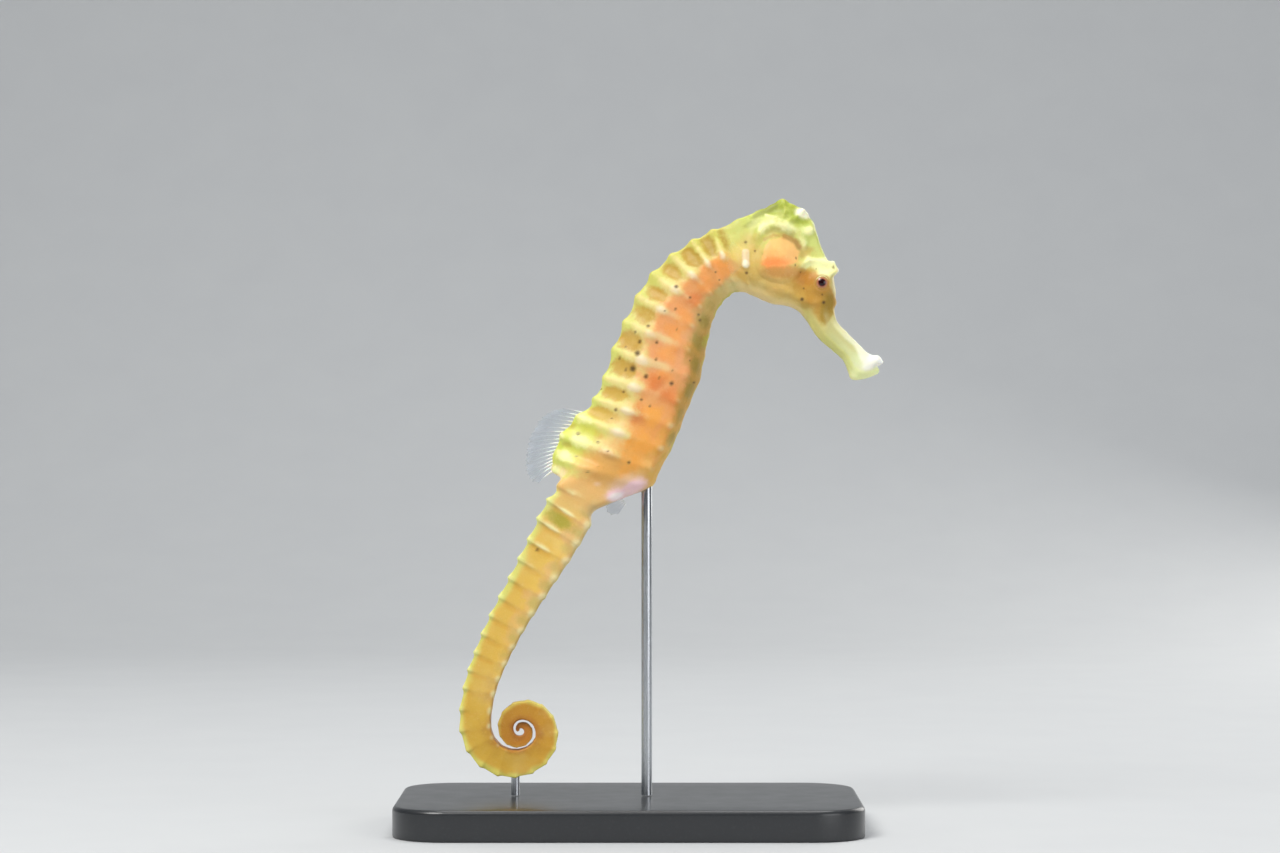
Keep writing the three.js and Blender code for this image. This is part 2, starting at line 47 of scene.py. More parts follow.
# ------------------------------------------------------------------ the body's sizes, in millimetres (as in the CAD part)
PROFILE = [  # station, back x, back z, belly x, belly z
    (0, 32.76, 60.75, 32.11, 58.99), (0.5, 32.44, 61.27, 31.07, 58.41), (1.1, 31.72, 61.33, 29.64, 58.21),
    (1.8, 30.94, 61.72, 28.67, 58.99), (2.6, 30.14, 62.5, 27.92, 60.45), (4.2, 28.42, 64.24, 26.2, 62.08),
    (5.6, 27.05, 65.8, 24.36, 63.8), (6.6, 26.78, 67.18, 23.07, 65.75), (7.4, 26.91, 68.48, 22.1, 66.92),
    (8.4, 26.85, 70.3, 21.06, 67.51), (9.3, 26.26, 72.64, 19.89, 67.77), (10, 25.09, 75.37, 18.72, 67.9),
    (10.5, 24.12, 78.1, 17.94, 68.16), (10.85, 22.95, 79.99, 17.29, 68.42), (11.2, 20.02, 81.55, 16.64, 68.74),
    (11.5, 17.55, 80.51, 16.25, 68.87), (12, 14.17, 79.14, 15.73, 69.07), (13, 10.66, 77.65, 14.17, 69.39),
    (14, 8.06, 76.35, 13.13, 68.81), (16, 2.73, 71.99, 11.31, 66.14), (18, -0.91, 65.62, 10.08, 60.94),
    (19, -2.34, 62.11, 9.36, 57.95), (20, -3.51, 58.47, 8.0, 54.83), (22, -6.11, 53.14, 5.46, 48.72),
    (23, -7.28, 50.28, 4.03, 46.19), (24, -8.32, 47.55, 2.73, 44.04), (24.7, -9.04, 45.6, -1.04, 42.4),
    (25, -9.43, 44.56, -3.3, 41.55)]
TAIL_RUN = [(26, -7.85, 40.88, 6.58), (28, -10.54, 36.07, 5.95), (30, -13.33, 31.26, 5.22),
            (32, -15.95, 26.6, 4.78), (34, -18.0, 22.07, 4.46), (36, -19.44, 17.78, 4.24)]
ROLL_CENTRE = (-14.14, 12.48)
ROLL_RADIUS = [5.72, 4.11, 3.46, 2.68, 1.84, 1.36, 1.06, 0.7, 0.2]
ROLL_DEPTH = [4.03, 3.51, 2.92, 2.46, 1.98, 1.5, 1.12, 0.78, 0.38]
ROLL_STATION = (38.2, 4.337, -0.178)
HALF_WIDTH = [(0, 0.85), (0.5, 1.25), (1.1, 1.45), (1.8, 1.33), (2.6, 1.24), (4.2, 1.3), (5.6, 1.46), (6.6, 1.68),
              (7.4, 1.98), (8.4, 2.25), (9.3, 2.45), (10, 2.78), (10.6, 3.05), (11.2, 3.1), (11.6, 2.95), (12, 2.72),
              (13, 2.76), (14, 3.0), (16, 3.55), (18, 4.1), (20, 4.55), (22, 4.75), (23, 4.55), (24, 4.05), (24.7, 3.42),
              (25, 3.1), (26, 2.98), (28, 2.72), (30, 2.42), (32, 2.26), (34, 2.16), (36, 2.06), (38.2, 1.95)]
TAIL_WIDTH_TO_DEPTH = 0.482
RIDGE_Q = {
    "back": [(0, 1), (9.3, 1), (10.3, 0.99), (10.9, 0.93), (11.25, 0.9), (11.6, 0.95), (12, 0.95), (14, 0.94), (21, 0.94), (23.5, 0.96), (24.8, 0.93), (26, 0.93), (61.5, 0.93)],
    "upper": [(0, 0.86), (6.6, 0.84), (8.4, 0.86), (9.3, 0.92), (10.3, 0.95), (10.9, 1), (11.5, 1), (12, 1), (24.6, 1), (25, 0.96), (61.5, 0.96)],
    "side": [(0, 0), (8.4, 0.1), (9.3, 0.05), (10, -0.15), (11.2, -0.3), (12, -0.24), (13, 0.14), (15, 0.12), (16, 0.21), (18, 0.36), (20, 0.27), (22, 0.15), (23, 0.16), (24, 0.5), (25, 1), (61.5, 1)],
    "lower": [(0, -0.78), (6.6, -0.72), (9, -0.74), (11, -0.8), (12, -0.7), (14, -0.55), (17, -0.5), (19, -0.68), (21, -0.78), (23.5, -0.82), (24.4, -0.88), (25, -1), (61.5, -1)],
    "keel": [(0, -1), (24, -1), (25, -0.95), (61.5, -0.95)]}
RIDGE_Y = {
    "back": [(0, 0), (61.5, 0)],
    "upper": [(0, 0.55), (6.6, 0.52), (8.4, 0.6), (9.3, 0.66), (10.1, 0.44), (10.9, 0.42), (11.5, 0.36), (12, 0.42), (14, 0.45), (20, 0.42), (22, 0.36), (24.5, 0.3), (25, 0.5), (61.5, 0.5)],
    "side": [(0, 1), (61.5, 1)],
    "lower": [(0, 0.6), (6.6, 0.62), (9, 0.66), (11, 0.6), (12, 0.62), (14, 0.66), (17, 0.7), (20, 0.68), (23, 0.66), (24.4, 0.72), (25, 0.93), (61.5, 0.93)],
    "keel": [(0, 0), (61.5, 0)]}
BULGE = {
    "top": [(0, 0.14), (9.3, 0.1), (10.4, 0), (11, -0.02), (12, -0.03), (24.6, 0.02), (25, 0), (61.5, 0)],
    "shoulder": [(0, 0.16), (8.4, 0.12), (9.6, 0.04), (10.6, -0.02), (11.4, 0.03), (12, 0), (14, -0.03), (24.6, -0.03), (25, 0), (61.5, 0)],
    "flank": [(0, 0.16), (9.3, 0.12), (11.4, 0.12), (12.4, 0.04), (14, -0.01), (24, -0.01), (25, -0.04), (61.5, -0.04)],
    "under": [(0, 0.16), (11, 0.14), (13, 0.08), (24, 0.04), (25, 0), (61.5, 0)]}
RING_RELIEF = [(11.6, 0), (12, 0.24), (24, 0.3), (26, 0.3), (30, 0.27), (36, 0.22), (44, 0.16), (52, 0.1), (61.5, 0.02)]
HUMP_FROM, HUMP_TO = 21.3, 24.72
HUMP = [(21.3, 0), (22, 0.85), (23, 1.9), (24, 2.1), (24.5, 2.0), (24.72, 1.5)]
END = 61.5
EYE_R, EYE_X, EYE_Y, EYE_Z = 1.3, 24.96, 1.72, 70.62
LID = 0.86  # radius of the eye's opening


def curve(rows, tight=True):
    x = np.array([r[0] for r in rows], float)
    y = np.array([r[1] for r in rows], float)
    h = np.diff(x)
    d = np.diff(y) / h
    m = np.zeros(len(x))
    for i in range(1, len(x) - 1):
        if not tight:
            m[i] = (d[i - 1] * h[i] + d[i] * h[i - 1]) / (h[i - 1] + h[i])
        elif d[i - 1] * d[i] > 0:
            a, b = 2 * h[i] + h[i - 1], h[i] + 2 * h[i - 1]
            m[i] = (a + b) / (a / d[i - 1] + b / d[i])
    m[0], m[-1] = d[0], d[-1]

    def at(u):
        t = np.clip(np.asarray(u, float), x[0], x[-1])
        i = np.clip(np.searchsorted(x, t, side="left") - 1, 0, len(x) - 2)
        s = (t - x[i]) / h[i]
        s2, s3 = s * s, s * s * s
        return (2 * s3 - 3 * s2 + 1) * y[i] + (s3 - 2 * s2 + s) * h[i] * m[i] + (3 * s2 - 2 * s3) * y[i + 1] + (s3 - s2) * h[i] * m[i + 1]
    return at


def smooth(a, b, t):
    s = np.clip((np.asarray(t, float) - a) / (b - a), 0, 1)
    return s * s * (3 - 2 * s)


def body_outline():
    rows = [tuple(r) for r in PROFILE]
    radius = curve(list(enumerate(ROLL_RADIUS)), False)
    depth = curve(list(enumerate(ROLL_DEPTH)))
    tail = [tuple(r) for r in TAIL_RUN]
    for t in np.arange(0, 8.01, 0.25):
        a, r = math.pi + t * math.pi / 2, float(radius(t))
        u = ROLL_STATION[0] + ROLL_STATION[1] * t + ROLL_STATION[2] * t * t
        tail.append((u, ROLL_CENTRE[0] + r * math.cos(a), ROLL_CENTRE[1] + r * math.sin(a), float(depth(t))))
    root = PROFILE[-1]
    line = [(root[0], (root[1] + root[3]) / 2, (root[2] + root[4]) / 2)] + tail
    cx, cz = curve([(r[0], r[1]) for r in line], False), curve([(r[0], r[2]) for r in line], False)
    end = line[-1][0]
    for u, x, z, w in tail:
        e = 0.02
        dx, dz = float(cx(min(u + e, end)) - cx(u - e)), float(cz(min(u + e, end)) - cz(u - e))
        l = math.hypot(dx, dz)
        nx, nz = dz / l * w / 2, -dx / l * w / 2
        rows.append((u, x + nx, z + nz, x - nx, z - nz))
    return [curve([(r[0], r[k]) for r in rows], False) for k in (1, 2, 3, 4)]


BX, BZ, VX, VZ = body_outline()
HEAD_WIDTH = curve(HALF_WIDTH)
ROLL_D = curve([(ROLL_STATION[0] + ROLL_STATION[1] * t + ROLL_STATION[2] * t * t, d) for t, d in enumerate(ROLL_DEPTH)])
Q = {k: curve(v) for k, v in RIDGE_Q.items()}
Y = {k: curve(v) for k, v in RIDGE_Y.items()}
G = {k: curve(v) for k, v in BULGE.items()}
RELIEF, HUMP_AT = curve(RING_RELIEF), curve(HUMP)


def half_width(u):
    return np.where(u < ROLL_STATION[0], HEAD_WIDTH(u), ROLL_D(u) * TAIL_WIDTH_TO_DEPTH)


def ring_height(u):
    """0 in the valley between two rings, 1 on a ring."""
    p = u - np.floor(u)
    d = np.minimum(p, 1 - p)
    rib = 0.4 * (0.5 + 0.5 * np.cos(2 * np.pi * p)) + 0.6 * np.exp(-(d / 0.2) ** 2)
    step = np.where(p < 0.26, 1 - smooth(0, 0.26, p), np.power(np.clip((p - 0.26) / 0.74, 0, 1), 1.7))
    t = smooth(24, 26, u)
    return np.where(u < 11.6, 1.0, rib * (1 - t) + step * t)


def hashed(k, seed):
    """A repeatable number from 0 to 1 for ring k."""
    v = np.sin(np.asarray(k, float) * 12.9898 + seed * 78.233) * 43758.5453
    return v - np.floor(v)


NAMES = ("back", "upper", "side", "lower", "keel")
STRIPS = ("top", "shoulder", "flank", "under")


def sections(u, counts):
    """Points of the smooth body (no rings yet) for stations u: array (len(u), around, 3), the strip coordinate t (0 back to 4 keel) and side sign of each."""
    u = np.asarray(u, float)
    bx, bz, vx, vz = BX(u), BZ(u), VX(u), VZ(u)
    ux, uz = bx - vx, bz - vz
    depth = np.hypot(ux, uz)
    ux, uz = ux / depth, uz / depth
    w = half_width(u)
    lift = np.where((u > HUMP_FROM) & (u < HUMP_TO), HUMP_AT(u), 0.0)
    # the hump ends abruptly behind; its last step is rounded over a short way
    corner = {}
    for k in NAMES:
        s = (Q[k](u) + 1) / 2 * depth
        y = Y[k](u) * w
        if k in ("back", "upper"):
            s = s + lift * (0.92 if k == "back" else 1 - 0.8 * smooth(23.7, 24.7, u))
        corner[k] = (s, y)
    cols, ts = [], []
    for k in range(4):
        (s0, y0), (s1, y1) = corner[NAMES[k]], corner[NAMES[k + 1]]
        g = G[STRIPS[k]](u)
        for i in range(counts[k]):
            t = i / counts[k]
            out = 4 * t * (1 - t) * g
            ds, dy = s1 - s0, y1 - y0
            cols.append((s0 + ds * t + dy * out, np.maximum(y0 + dy * t - ds * out, 0)))
            ts.append(k + t)
    cols.append(corner["keel"])
    ts.append(4.0)
    s = np.stack([c[0] for c in cols] + [c[0] for c in cols[-2:0:-1]], 1)
    y = np.stack([c[1] for c in cols] + [-c[1] for c in cols[-2:0:-1]], 1)
    t = np.array(ts + ts[-2:0:-1])
    side = np.sign(np.array([1.0] * len(cols) + [-1.0] * (len(cols) - 2)))
    side[0] = side[len(cols) - 1] = 0
    return s, y, t, side, (vx, vz, ux, uz)


def loop_smooth(a, times):
    for _ in range(times):
        a = 0.25 * np.roll(a, 1, 1) + 0.5 * a + 0.25 * np.roll(a, -1, 1)
    return a


def base_points(u, counts, n_head, n_trunk, n_tail):
    s, y, t, side, (vx, vz, ux, uz) = sections(u, counts)
    # where the lateral ridge climbs to the tail's edge the section is rounder
    hip = (smooth(22.6, 23.9, u) * (1 - smooth(25.1, 26.2, u)))[:, None]
    rounds = 170 if counts[1] > 20 else 42
    sr, yr = loop_smooth(s, rounds), loop_smooth(y, rounds)
    # the ridge along the flank is a soft fold between its knobs
    soft = 70 if counts[1] > 20 else 17
    fold = np.exp(-((t - 2) / 0.55) ** 4)[None, :] * (smooth(12.2, 13.4, u) * (1 - smooth(24.2, 25.4, u)))[:, None]
    sf, yf = loop_smooth(s, soft), loop_smooth(y, soft)
    # the mid-back keeps the hump's outline, the keel its own
    keep = np.clip(smooth(0.9, 0.2, t) + smooth(3.4, 3.9, t), 0, 1)[None, :]
    sr = sr * (1 - keep) + s * keep
    sh, yh = loop_smooth(s, n_head), loop_smooth(y, n_head)
    st, yt = loop_smooth(s, n_trunk), loop_smooth(y, n_trunk)
    sl, yl = loop_smooth(s, n_tail), loop_smooth(y, n_tail)
    a = (1 - smooth(11.2, 12.6, u))[:, None] * (1 - 0.55 * smooth(9.8, 10.9, u))[:, None]
    b = smooth(24.5, 26, u)[:, None]
    s = sh * a + (1 - a) * (st * (1 - b) + sl * b)
    y = yh * a + (1 - a) * (yt * (1 - b) + yl * b)
    s, y = s * (1 - fold) + sf * fold, y * (1 - fold) + yf * fold
    s, y = s * (1 - hip) + sr * hip, y * (1 - hip) + yr * hip
    p = np.stack([vx[:, None] + ux[:, None] * s, y, vz[:, None] + uz[:, None] * s], 2)
    return p, t, side


# ------------------------------------------------------------------ grid of the skin
COUNTS_A, COUNTS_B, COUNTS_C = (8, 28, 40, 20), (4, 14, 20, 10), (2, 7, 10, 5)


def axis_stations():
    """Stations of the skin: even steps on the head, fixed shares of each ring behind it."""
    fine = np.linspace(0, 12, 4000)
    cx, cz = (BX(fine) + VX(fine)) / 2, (BZ(fine) + VZ(fine)) / 2
    # weigh the back outline too, so the crown gets enough rows
    run = np.hypot(np.diff(cx), np.diff(cz)) * 0.6 + 0.4 * np.hypot(np.diff(BX(fine)), np.diff(BZ(fine)))
    run = np.r_[0, np.cumsum(run)]
    n = 196
    head = np.interp(np.linspace(0, run[-1], n + 1), run, fine)[:-1]
    trunk = [k + i / 13 for k in range(12, 25) for i in range(13)]
    trunk = [u for u in trunk if u < 24.99]
    share = [0, 0.05, 0.1, 0.17, 0.26, 0.38, 0.5, 0.63, 0.76, 0.89]
    tail = [k + p for k in range(25, 49) for p in share]
    share2 = [0, 0.1, 0.2, 0.38, 0.56, 0.78]
    tip = [k + p for k in range(49, 61) for p in share2] + [61, 61.15, 61.3, 61.42, 61.5]
    return np.array(list(head) + trunk), np.array(tail), np.array(tip)


RING_ON_FLANK = {13: .3, 14: .35, 15: .45, 16: .5, 17: .65, 18: .95, 19: 1, 20: .35, 21: .3, 22: .25, 23: .3, 24: .2}
RING_ON_BACK = {13: .5, 14: .6, 15: .75, 16: .8, 17: .7, 18: .8, 19: .95, 20: 1, 21: 1, 22: 1, 23: 1, 24: .5}
CRESCENT = {25: .55, 26: 1, 27: 1, 28: .9, 29: .4, 30: .25, 31: .15}
CRESCENT_AT = {25: 2.35, 26: 2.45, 27: 2.34, 28: 2.36, 29: 2.3, 30: 2.28, 31: 2.26}
# warm clouds on the flank: x, z, radius, kind (orange, coral, amber)
CLOUDS = [(12.3, 72.4, 1.5, "orange"), (10.2, 70.5, 1.5, "orange"), (8.7, 68.3, 1.25, "coral"), (7.1, 66.3, 1.3, "orange"), (6.0, 64.1, 1.5, "orange"),
          (5.3, 61.4, 1.6, "orange"), (3.5, 57.7, 1.3, "coral"), (5.3, 56.1, 1.4, "coral"), (4.6, 58.6, 1.3, "orange"), (3.1, 53.4, 1.55, "amber"),
          (1.2, 53.6, 1.4, "coral"), (1.7, 49.7, 1.7, "amber"), (-0.3, 50.6, 1.3, "amber"), (-1.1, 46.8, 1.5, "amber"), (0.9, 47.4, 1.3, "amber")]


def per_ring(table, k):
    out = np.zeros_like(k)
    for ring, value in table.items():
        out = np.where(k == ring, value, out)
    return out


def fields(u, p, t, side):
    """Everything that stands out from or sinks into the smooth body, in millimetres along the normal, and the masks the skin's colours use."""
    U = np.broadcast_to(u[:, None], p.shape[:2])
    T = np.broadcast_to(t[None, :], p.shape[:2])
    x, y, z = p[..., 0], p[..., 1], p[..., 2]
    ay = np.abs(y)
    h = np.zeros_like(U)
    ringed = smooth(11.5, 12.2, U)
    on_tail = smooth(24, 25.3, U)
    on_hump = smooth(HUMP_FROM, HUMP_FROM + 1, U) * (1 - smooth(HUMP_TO, HUMP_TO + 0.2, U))
    trunk = smooth(12.1, 12.9, U) * (1 - smooth(24.2, 25.0, U))
    tail = smooth(24.9, 25.6, U)
    rh = ring_height(U)
    k = np.round(U)
    du = U - k
    plate = np.floor(U)
    pp = U - plate
    vary = 0.82 + 0.34 * hashed(k, 2)
    # rings: deepest valleys at the ridges, lower ribs across the strips
    share = np.interp(T, [0, 0.6, 1, 1.5, 2, 2.5, 3, 3.5, 4], [1.1, 1.05, 1.0, 0.72, 1.0, 0.42, 0.62, 0.2, 0.4])
    share_t = np.interp(T, [0, 1, 1.7, 2, 2.25, 2.65, 3, 3.4, 4], [1.25, 1.2, 1.1, 1.0, 0.42, 0.26, 0.5, 0.35, 0.3])
    share_t = share_t * (1 - 0.86 * smooth(31, 38, U) * smooth(2.0, 2.3, T))
    share = (share * (1 - on_tail) + share_t * on_tail) * (vary * (1 - on_tail) + on_tail)
    share = share * (1 - 0.45 * on_hump * (T < 1.3))
    h -= RELIEF(U) * (1 - rh) * share * ringed
    m = {}
    flat = p.reshape(-1, 3)
    lump = np.array([noise.noise(Vector(v)) + 0.5 * noise.noise(Vector(v) * 2.3) for v in flat * 0.9]).reshape(U.shape)
    drift = np.array([noise.noise(Vector(v)) for v in flat * 0.55 + 7.0]).reshape(U.shape)
    Tn = T + 0.32 * drift  # the borders between colours wander
    # plates of the back strip are dished, with an ochre field in each
    mid_t, mid_p = 1.47 + 0.16 * (hashed(plate, 21) - 0.5), 0.5 + 0.1 * (hashed(plate, 22) - 0.5)
    big = 0.9 + 0.22 * hashed(plate, 23)
    d_field = np.sqrt(((T - mid_t) / (0.44 * big)) ** 2 + ((pp - mid_p) / (0.36 * big)) ** 2) * (1 + 0.25 * lump)
    field = trunk * np.exp(-d_field ** 3.6)
    m["panel"] = field * (0.6 + 0.4 * hashed(plate, 1)) * (1 - 0.55 * smooth(22.6, 24, U))
    h -= 0.24 * field
    # pale wedges: thin at the back, wide at the ridge along the flank
    wide = np.interp(T, [1, 1.5, 2, 2.3], [0.15, 0.19, 0.3, 0.2]) * (0.85 + 0.3 * hashed(k, 31))
    begin = 0.75 + 0.45 * hashed(k, 32)
    m["cream"] = trunk * np.exp(-(du / wide) ** 2) * smooth(begin, begin + 0.5, T) * (1 - smooth(1.95, 2.45, Tn)) * per_ring(RING_ON_BACK, k)
    # pale knobs on the lateral ridge, their brightness partly a painted highlight
    m["pale_knob_and_painted_highlight"] = trunk * np.exp(-((T - 1.98) / 0.2) ** 2) * np.exp(-((du - 0.02) / 0.19) ** 2) * (0.6 + 0.4 * hashed(k, 5)) * (k < 23.5)
    m["flank_ring"] = trunk * np.exp(-((du + 0.05 * (T - 2)) / 0.17) ** 2) * smooth(1.85, 2.15, T) * (1 - smooth(2.4, 2.95, T)) * per_ring(RING_ON_FLANK, k)
    m["low_knob"] = trunk * np.exp(-((T - 3.0) / 0.13) ** 2) * np.exp(-(du / 0.17) ** 2) * (0.35 + 0.65 * hashed(k, 3))
    m["olive"] = trunk * np.exp(-np.abs((T - 3.45) / 0.34) ** 2.4) * np.exp(-np.abs((pp - 0.5) / 0.38) ** 2.4) * (0.5 + 0.5 * hashed(plate, 7)) * (1 - smooth(21.5, 23.5, U)) * smooth(14.5, 16.5, U)
    # warm clouds on the flank, each a low swelling
    for kind in ("orange", "coral", "amber"):
        m[kind] = np.zeros_like(U)
    for cx, cz, r, kind in CLOUDS:
        wob = 1 + 0.16 * np.sin(3 * np.arctan2(z - cz, x - cx) + cx * 2.1)
        g = np.exp(-np.power(np.hypot(x - cx, z - cz) / (r * wob), 2.0)) * (U > 12) * (U < 25.5) * smooth(1.75, 2.3, Tn) * (1 - smooth(2.7, 3.25, Tn))
        m[kind] = np.maximum(m[kind], g)
        h += 0.10 * g
    # tubercles where rings cross ridges, stronger on every third ring
    wave = 0.8 + 0.3 * np.cos(2 * np.pi * (k - 12) / 3.0) ** 2
    size = np.interp(U, [12, 16, 24, 26, 30, 40, 50, 61], [0.24, 0.32, 0.3, 0.24, 0.18, 0.08, 0.03, 0.0])
    knob = np.zeros_like(U)
    for centre, spread, gain, tail_gain in ((1.0, 0.2, 0.6, 0.0), (2.0, 0.2, 1.0, 1.0), (3.0, 0.17, 0.6, 0.4)):
        g = gain * (1 - on_tail) + tail_gain * on_tail
        across = np.exp(-((T - centre) / np.where(on_tail > 0.5, 0.3, spread)) ** 2)
        along = np.exp(-(du / 0.19) ** 2) * (1 - on_tail) + np.where(du > 0, np.exp(-(du / 0.09) ** 2), np.exp(-(du / 0.24) ** 2)) * on_tail
        knob += g * across * along
    knob *= ringed * np.where(k == 24, 0.35, 1.0)
    h += size * wave * knob
    m["knob"] = np.clip(knob, 0, 1)
    m["ring"] = rh * ringed
    # hump under the dorsal fin: three rows of soft bumps
    hump = on_hump * (T < 2.2)
    near = smooth(0.8, 1.25, T)
    m["hump"] = smooth(HUMP_FROM, HUMP_FROM + 1, U) * smooth(24.75 - 0.1 * near, 24.5 - 0.75 * near, U) * smooth(1.95, 1.15, Tn)
    m["hip_pale"] = smooth(24.0, 24.7, U) * (1 - smooth(25.3, 25.9, U)) * (1 - smooth(1.3, 1.75, Tn))
    m["hip"] = np.exp(-(((x + 3.6) / 3.4) ** 2 + ((z - 46.9) / 2.3) ** 2) ** 1.3) * (T > 0.5) * (U > 22.5) * (U < 26)
    # painted highlights: the tops of the hump's bumps are painted pale
    m["hump_painted_highlight"] = np.zeros_like(U)
    for cx, cz, rx, rz, turn in ((-5.7, 53.1, 1.45, 0.85, -16), (-6.3, 50.2, 1.6, 0.95, -22), (-8.3, 48.2, 1.5, 0.8, -30), (-8.9, 51.0, 0.8, 0.45, -30), (-9.6, 46.4, 0.7, 0.5, -30)):
        c, s_ = math.cos(math.radians(turn)), math.sin(math.radians(turn))
        dx, dz = x - cx, z - cz
        g = np.exp(-np.power(((dx * c + dz * s_) / rx) ** 2 + ((-dx * s_ + dz * c) / rz) ** 2, 1.1)) * hump
        h += 0.24 * g
        m["hump_painted_highlight"] = np.maximum(m["hump_painted_highlight"], g)
    # painted shade: the hollows between the bumps are painted darker
    m["hump_hollow_painted_shade"] = hump * np.clip(np.exp(-(np.hypot((x + 8.1) / 0.8, (z - 49.7) / 0.4)) ** 2) + np.exp(-(np.hypot((x + 7.6) / 0.7, (z - 52.2) / 0.5)) ** 2), 0, 1)
    h -= 0.12 * m["hump_hollow_painted_shade"]
    # ------------------------------------------------ tail
    m["tail_edge"] = tail * (1 - smooth(1.95, 2.32, T + 0.12 * drift))
    m["tooth"] = tail * np.exp(-((T - 1.95) / 0.22) ** 2) * np.exp(-(du / 0.2) ** 2) * (1 - smooth(34, 43, U))
    centre = per_ring(CRESCENT_AT, k)
    bow = 0.35 * (T - centre) ** 2
    m["crescent"] = per_ring(CRESCENT, k) * np.exp(-np.abs((T - centre) / 0.24) ** 2) * np.exp(-((du + bow) / 0.115) ** 2) * (U > 24.8)
    h += 0.12 * m["crescent"]
    m["tail_olive"] = np.exp(-(np.abs((T - 2.42) / 0.34) ** 2 + np.abs((U - 26.52) / 0.36) ** 2) ** 1.2)
    # olive painted shade between the pale bumps along the tail's underside
    m["low_olive_painted_shade"] = tail * np.exp(-((T - 2.86) / 0.16) ** 2) * np.exp(-((pp - 0.5) / 0.3) ** 2) * (1 - smooth(31, 38, U))
    m["low_pale"] = tail * smooth(2.78, 2.96, T) * (1 - smooth(3.3, 3.8, T)) * np.exp(-(du / 0.26) ** 2) * (1 - smooth(36, 44, U))
    m["tail_after"] = tail * np.exp(-((pp - 0.22) / 0.16) ** 2) * smooth(2.08, 2.3, T) * (1 - smooth(2.55, 2.8, T)) * (1 - smooth(34, 42, U))
    # ------------------------------------------------ head
    lateral = smooth(0.5, 1.3, ay)
    front = 1 - smooth(12.2, 13.4, U)

    def blob(cx, cz, rx, rz, power=2.0, turn=0.0):
        c, s_ = math.cos(math.radians(turn)), math.sin(math.radians(turn))
        dx, dz = x - cx, z - cz
        a, b = (dx * c + dz * s_) / rx, (-dx * s_ + dz * c) / rz
        return np.exp(-np.power(a * a + b * b, power / 2))

    def line(points, width, power=2.0):
        best = np.full(x.shape, 1e9)
        for (ax, az), (bx, bz) in zip(points[:-1], points[1:]):
            lx, lz = bx - ax, bz - az
            f = np.clip(((x - ax) * lx + (z - az) * lz) / (lx * lx + lz * lz), 0, 1)
            best = np.minimum(best, np.hypot(x - ax - f * lx, z - az - f * lz))
        return np.exp(-np.power(best / width, power))

    def patch(points, soft):
        """1 inside the outline, 0 outside, softened over a width."""
        inside = np.zeros(x.shape, bool)
        best = np.full(x.shape, 1e9)
        for (ax, az), (bx, bz) in zip(points, points[1:] + points[:1]):
            cross = ((az > z) != (bz > z)) & (x < (bx - ax) * (z - az) / (bz - az if bz != az else 1e-9) + ax)
            inside ^= cross
            lx, lz = bx - ax, bz - az
            f = np.clip(((x - ax) * lx + (z - az) * lz) / (lx * lx + lz * lz), 0, 1)
            best = np.minimum(best, np.hypot(x - ax - f * lx, z - az - f * lz))
        return smooth(-soft, soft, np.where(inside, best, -best) + 0.25 * soft * lump)

    m["flank_pale"] = blob(-2.0, 50.8, 1.8, 5.2, 2.4, -24) * smooth(20, 21, U) * (U < 26) * smooth(1.2, 1.6, T)
    # the underside of the tail's root is fuller
    h += 0.3 * smooth(25.3, 26.6, U) * (1 - smooth(30, 37, U)) * smooth(2.5, 3.1, T)
    head = front * lateral * smooth(5.2, 6.4, U)
    # gill cover: a low dome, its groove deepest above and in front
    gx, gz = 19.55, 73.7
    r = np.hypot((x - gx) / 3.2, (z - gz) / 3.35) * (1 + 0.05 * np.sin(3 * np.arctan2(z - gz, x - gx)))
    around = np.arctan2(z - gz, x - gx)
    part = np.clip(0.35 + 0.65 * np.cos(around - 1.0), 0.05, 1)
    dome = np.where(r < 1, np.clip(1 - r * r, 0, 1) ** 0.8, 0)
    h += head * (0.36 * dome - 0.2 * part * np.exp(-((r - 1.0) / 0.13) ** 2) + 0.06 * part * np.exp(-((r - 1.24) / 0.13) ** 2))
    ang = np.arctan2(z - (gz + 1.4), x - (gx + 2.4))
    h += head * 0.02 * dome * smooth(0.2, 0.7, r) * np.sin(ang * 26)
    m["opercle"] = head * patch([(17.2, 73.6), (17.7, 75.4), (18.5, 76.3), (19.9, 76.55), (21.2, 76.0), (22.1, 74.7), (21.9, 73.4), (20.9, 72.85), (19.0, 72.65), (17.7, 72.8)], 0.7)
    m["opercle_core"] = head * patch([(17.2, 73.0), (17.7, 74.0), (19.0, 73.9), (20.4, 73.6), (21.0, 73.1), (20.4, 72.7), (19.0, 72.5), (17.8, 72.6)], 1.0)
    m["opercle_low"] = head * blob(19.6, 72.1, 2.8, 1.0, 2.6, 0)
    # painted shade: a dusky brown along the groove above and in front of the gill cover
    m["opercle_groove_painted_shade"] = head * np.maximum(0.6 * line([(17.6, 76.3), (18.6, 76.75), (19.9, 76.75)], 0.36), line([(20.1, 76.7), (21.0, 76.35), (21.65, 75.85), (22.0, 75.3)], 0.46))
